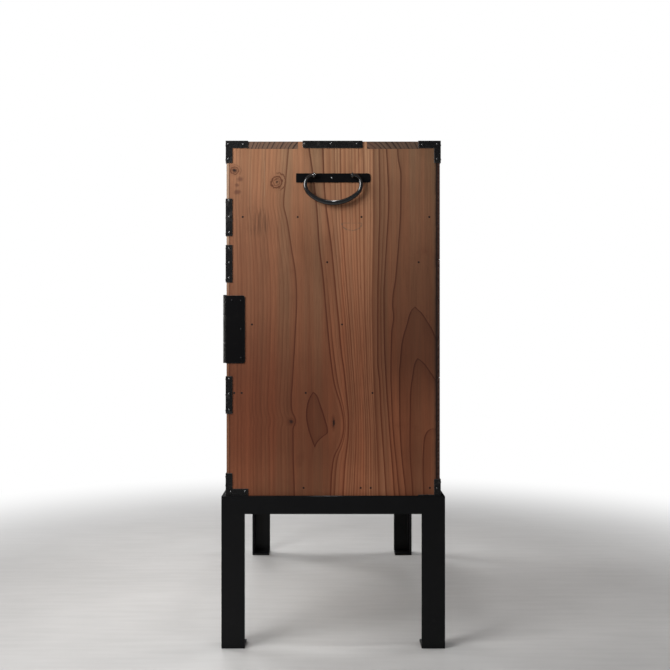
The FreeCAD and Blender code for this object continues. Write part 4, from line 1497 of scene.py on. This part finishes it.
@dataclass
class Handles:
    """Pulls of the drawers, the door's ring and the two carrying handles."""

    face: float = 0.1815
    pivot: float = 0.1895
    side: float = 0.34845
    handle_height: float = 0.806
    ring_x: float = 0.07325
    ring_radius: float = 0.015
    ring_rod: float = 0.0021
    pull: Bail = Bail(half_span=0.036, drop=0.036, rod=0.0021, belly=0.0033, limb=0.0024)
    pull_eye: EyePin = EyePin(rod=0.0021, standoff=0.008)
    handle: Bail = Bail(half_span=0.0475, drop=0.047, rod=0.0025, belly=0.0043, limb=0.0034,
                        fall_share=0.325, sides=20)
    handle_eye: EyePin = EyePin(rod=0.0025, standoff=0.0085, washer=False)

    def build(self) -> None:
        """Make all handles and eyes."""
        pair, single = {"_left": -0.1663, "_right": 0.1663}, {"": -0.146}
        for body, height, places in (
            (Body.TOP_DRAWER, 0.8059, pair),
            (Body.SHALLOW_DRAWER, 0.70615, pair),
            (Body.UPPER_LEFT_DRAWER, 0.6115, single),
            (Body.LOWER_LEFT_DRAWER, 0.4998, single),
            (Body.BOTTOM_DRAWER, 0.36315, pair),
        ):
            eyes, name = Pieces(), body.value
            for ending, x in places.items():
                for way in (-1, 1):
                    place = (x + way * self.pull.eye_place, -self.face, height)
                    self.pull_eye.add(eyes, place, Facing.FRONT)
                bail, node = Pieces(), f"{name}_bail{ending}"
                self.pull.add(bail, (x, -self.pivot, height), Facing.FRONT)
                rider = node.replace("_drawer", "")
                dress(bail.object(f"{node}_forged"), PULL, rider, [node])
            dress(eyes.object(f"{name}_eye_pins"), EYE, body, [f"{name}_eyes"])
        self.door_ring()
        self.carrying()

    def door_ring(self) -> None:
        """Make the round ring through one eye on the door."""
        pins, ring = Pieces(), Pieces()
        self.pull_eye.add(pins, (self.ring_x, -self.face, DOOR_MIDDLE), Facing.FRONT)
        dress(pins.object("door_ring_eye_pin"), EYE, Body.DOOR, ["door_ring_eye"])
        way = circle(56) @ np.array([(0, 0, 1), (1, 0, 0)])
        middle = np.array((self.ring_x, -self.pivot, DOOR_MIDDLE - self.ring_radius))
        path, out = middle + self.ring_radius * way, np.array((0.0, -1.0, 0.0))
        ring.rod(path, way, out, np.full(56, self.ring_rod), 14, closed=True)
        dress(ring.object("door_ring_forged"), PULL, Body.DOOR_RING, ["door_ring"])

    def carrying(self) -> None:
        """Make the carrying handle on each side."""
        eyes = Pieces()
        for (facing, sign), body in zip(SIDES, (Body.SIDE_BAIL_RIGHT, Body.SIDE_BAIL_LEFT)):
            made, node = Pieces(), body.value
            middle = (sign * (self.side + self.handle_eye.standoff), 0.0, self.handle_height)
            self.handle.add(made, middle, facing)
            dress(made.object(f"{node}_forged"), HANDLE, body, [node])
            for way in (-1, 1):
                place = (sign * self.side, way * self.handle.eye_place, self.handle_height)
                self.handle_eye.add(eyes, place, facing)
        name = "side_handle_eye"
        dress(eyes.object(f"{name}_pins"), EYE, Body.CHEST, [f"{name}s"])


# ---- the stand


@dataclass
class Stand:
    """Welded stand of steel angle on four foot plates, ground flush and painted."""

    frame_edge: float = 0.0009
    plate_edge: float = 0.0006

    def build(self) -> None:
        """Join the rails and legs into one skin and ease its edges."""
        legs = ("leg_front_left", "leg_front_right", "leg_rear_right", "leg_rear_left")
        rails = ("rail_front", "rail_right", "rail_rear", "rail_left")
        for name, nodes, edge in (
            ("stand_welded_frame", [f"stand_{bar}" for bar in (*legs, *rails)], self.frame_edge),
            ("stand_feet", ["stand_foot_plates"], self.plate_edge),
        ):
            clad(nodes, name, edge, StandPaint())


# ---- studio


@dataclass(frozen=True)
class Lamp:
    """Square soft lamp that looks at a point; spread is its beam's widest angle in degrees.

    Low fills at the sides and the rear would glare on the lid's irons, so gloss can't see them.
    """

    name: str
    place: Point
    aim: Point
    size: float
    watts: float
    spread: float
    glints: bool = True

    def hang(self) -> None:
        """Put the lamp into the scene."""
        light = bpy.data.lights.new(self.name, "AREA")
        light.shape, light.size, light.energy = "SQUARE", self.size, self.watts
        light.spread = math.radians(self.spread)
        lamp = placed(self.name, light)
        lamp.location = self.place
        away = lamp.location - type(lamp.location)(self.aim)
        lamp.rotation_euler = away.to_track_quat("Z", "Y").to_euler()
        lamp.visible_camera, lamp.visible_glossy = False, self.glints


LAMPS = (
    Lamp("window", (1.00, -0.85, 1.10), (0.35, 0.0, 0.64), 0.70, 16.5, 180.0),
    Lamp("front_fill", (-0.9, -1.9, 1.35), (-0.1, -0.2, 0.58), 1.2, 9.0, 70.0),
    Lamp("left_fill", (-2.1, -0.6, 0.85), (-0.35, 0.0, 0.62), 1.0, 6.0, 70.0, glints=False),
    Lamp("rear_fill", (-0.7, 2.0, 0.80), (-0.1, 0.2, 0.62), 1.0, 7.0, 70.0, glints=False),
    Lamp("top_strip", (0.47, 0.0, 2.2), (0.40, 0.0, 0.8), 0.12, 0.8, 60.0),
    Lamp("overhead", (-0.45, 0.0, 2.3), (-0.2, 0.0, 0.8), 1.0, 5.0, 90.0),
)


@dataclass
class Studio:
    """Pale floor, soft lamps, pale surroundings and the camera."""

    camera_place: Point = (2.0165, -0.0070, 0.5519)
    lens: float = 52.39
    shift: tuple[float, float] = (0.0088, -0.0157)
    mirrored: float = 0.1
    floor_rings: tuple[float, ...] = (0.0, 0.4, 0.8, 1.2, 1.8, 2.6, 4.0, 6.0)
    floor_rim: tuple[float, float] = (0.60, 1.60)
    floor_grey: float = 0.44
    floor_colour: Colour = (1.0, 0.985, 0.965)
    air_colour: Colour = (0.93, 0.95, 1.0)
    air_light: float = 0.11

    def build(self) -> None:
        """Make the floor, the world, the lamps and the camera."""
        self.floor()
        self.world()
        for lamp in LAMPS:
            lamp.hang()
        self.camera()

    def floor(self) -> None:
        """Make the round pale floor, whose rim turns into the pale surroundings."""
        rings = Pieces()
        ring = np.concatenate([circle(64), np.zeros((64, 1))], 1)
        rings.grid(np.array(self.floor_rings)[:, None, None] * ring)
        floor = rings.object("studio_floor")
        if floor.data.polygons[0].normal.z < 0:
            floor.data.flip_normals()
        graph = Graph("studio_floor_finish")
        cloud = graph.place.noise(2.6, 4.0, 0.6).step(0.3, 0.7, -0.02, 0.02)
        grain = graph.join(graph.x * 60.0, graph.y * 7.0, 0.0).noise(1.0, 3.0)
        tone = cloud + grain.step(0.3, 0.7, -0.012, 0.012) + self.floor_grey
        tinted = ((0, self.floor_colour), ("Scale", tone))
        colour = make(graph.tree, "VectorMath", tinted, operation="SCALE")
        graph.finish(colour, 0.6, 0.25)
        rim = graph.x.radius(graph.y).step(*self.floor_rim)
        seen = rim * white_share(graph.tree, self.mirrored)
        shaders = (seen, graph.surface, make(graph.tree, "Emission"))
        put(graph.output, make(graph.tree, "MixShader", enumerate(shaders)))
        floor.data.materials.append(graph.material)

    def world(self) -> None:
        """Make the pale surroundings: white to the camera and dimmer as a light."""
        world = bpy.data.worlds.new("studio")
        bpy.context.scene.world = world
        world.use_nodes = True
        tree = world.node_tree
        tree.nodes.clear()
        dim, white = (
            make(tree, "Background", enumerate(look))
            for look in ((self.air_colour, self.air_light), ((1.0, 1.0, 1.0), 1.0)))
        shaders = (white_share(tree, self.mirrored), dim, white)
        output = tree.nodes.new("ShaderNodeOutputWorld")
        put(output.inputs["Surface"], make(tree, "MixShader", enumerate(shaders)))

    def camera(self) -> None:
        """Make the camera, which looks level along -X at the right side."""
        data = bpy.data.cameras.new("camera")
        data.lens, data.sensor_width = self.lens, 36.0
        data.shift_x, data.shift_y = self.shift
        data.clip_start, data.clip_end = 0.05, 50.0
        camera = placed("camera", data)
        camera.location = self.camera_place
        camera.rotation_euler = (math.pi / 2, 0.0, math.pi / 2)
        bpy.context.scene.camera = camera
        bpy.context.scene.view_settings.view_transform = "Standard"


def main() -> None:
    """Build the chest and its studio."""
    logging.basicConfig(level=logging.INFO, format="%(name)s: %(message)s")
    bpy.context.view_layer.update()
    for part in (Studio(), Stand(), Case(), DrawerSet(), Door(), Irons(), Handles()):
        part.build()
        log.info("%s is built", type(part).__name__)


if __name__ == "__main__":
    main()
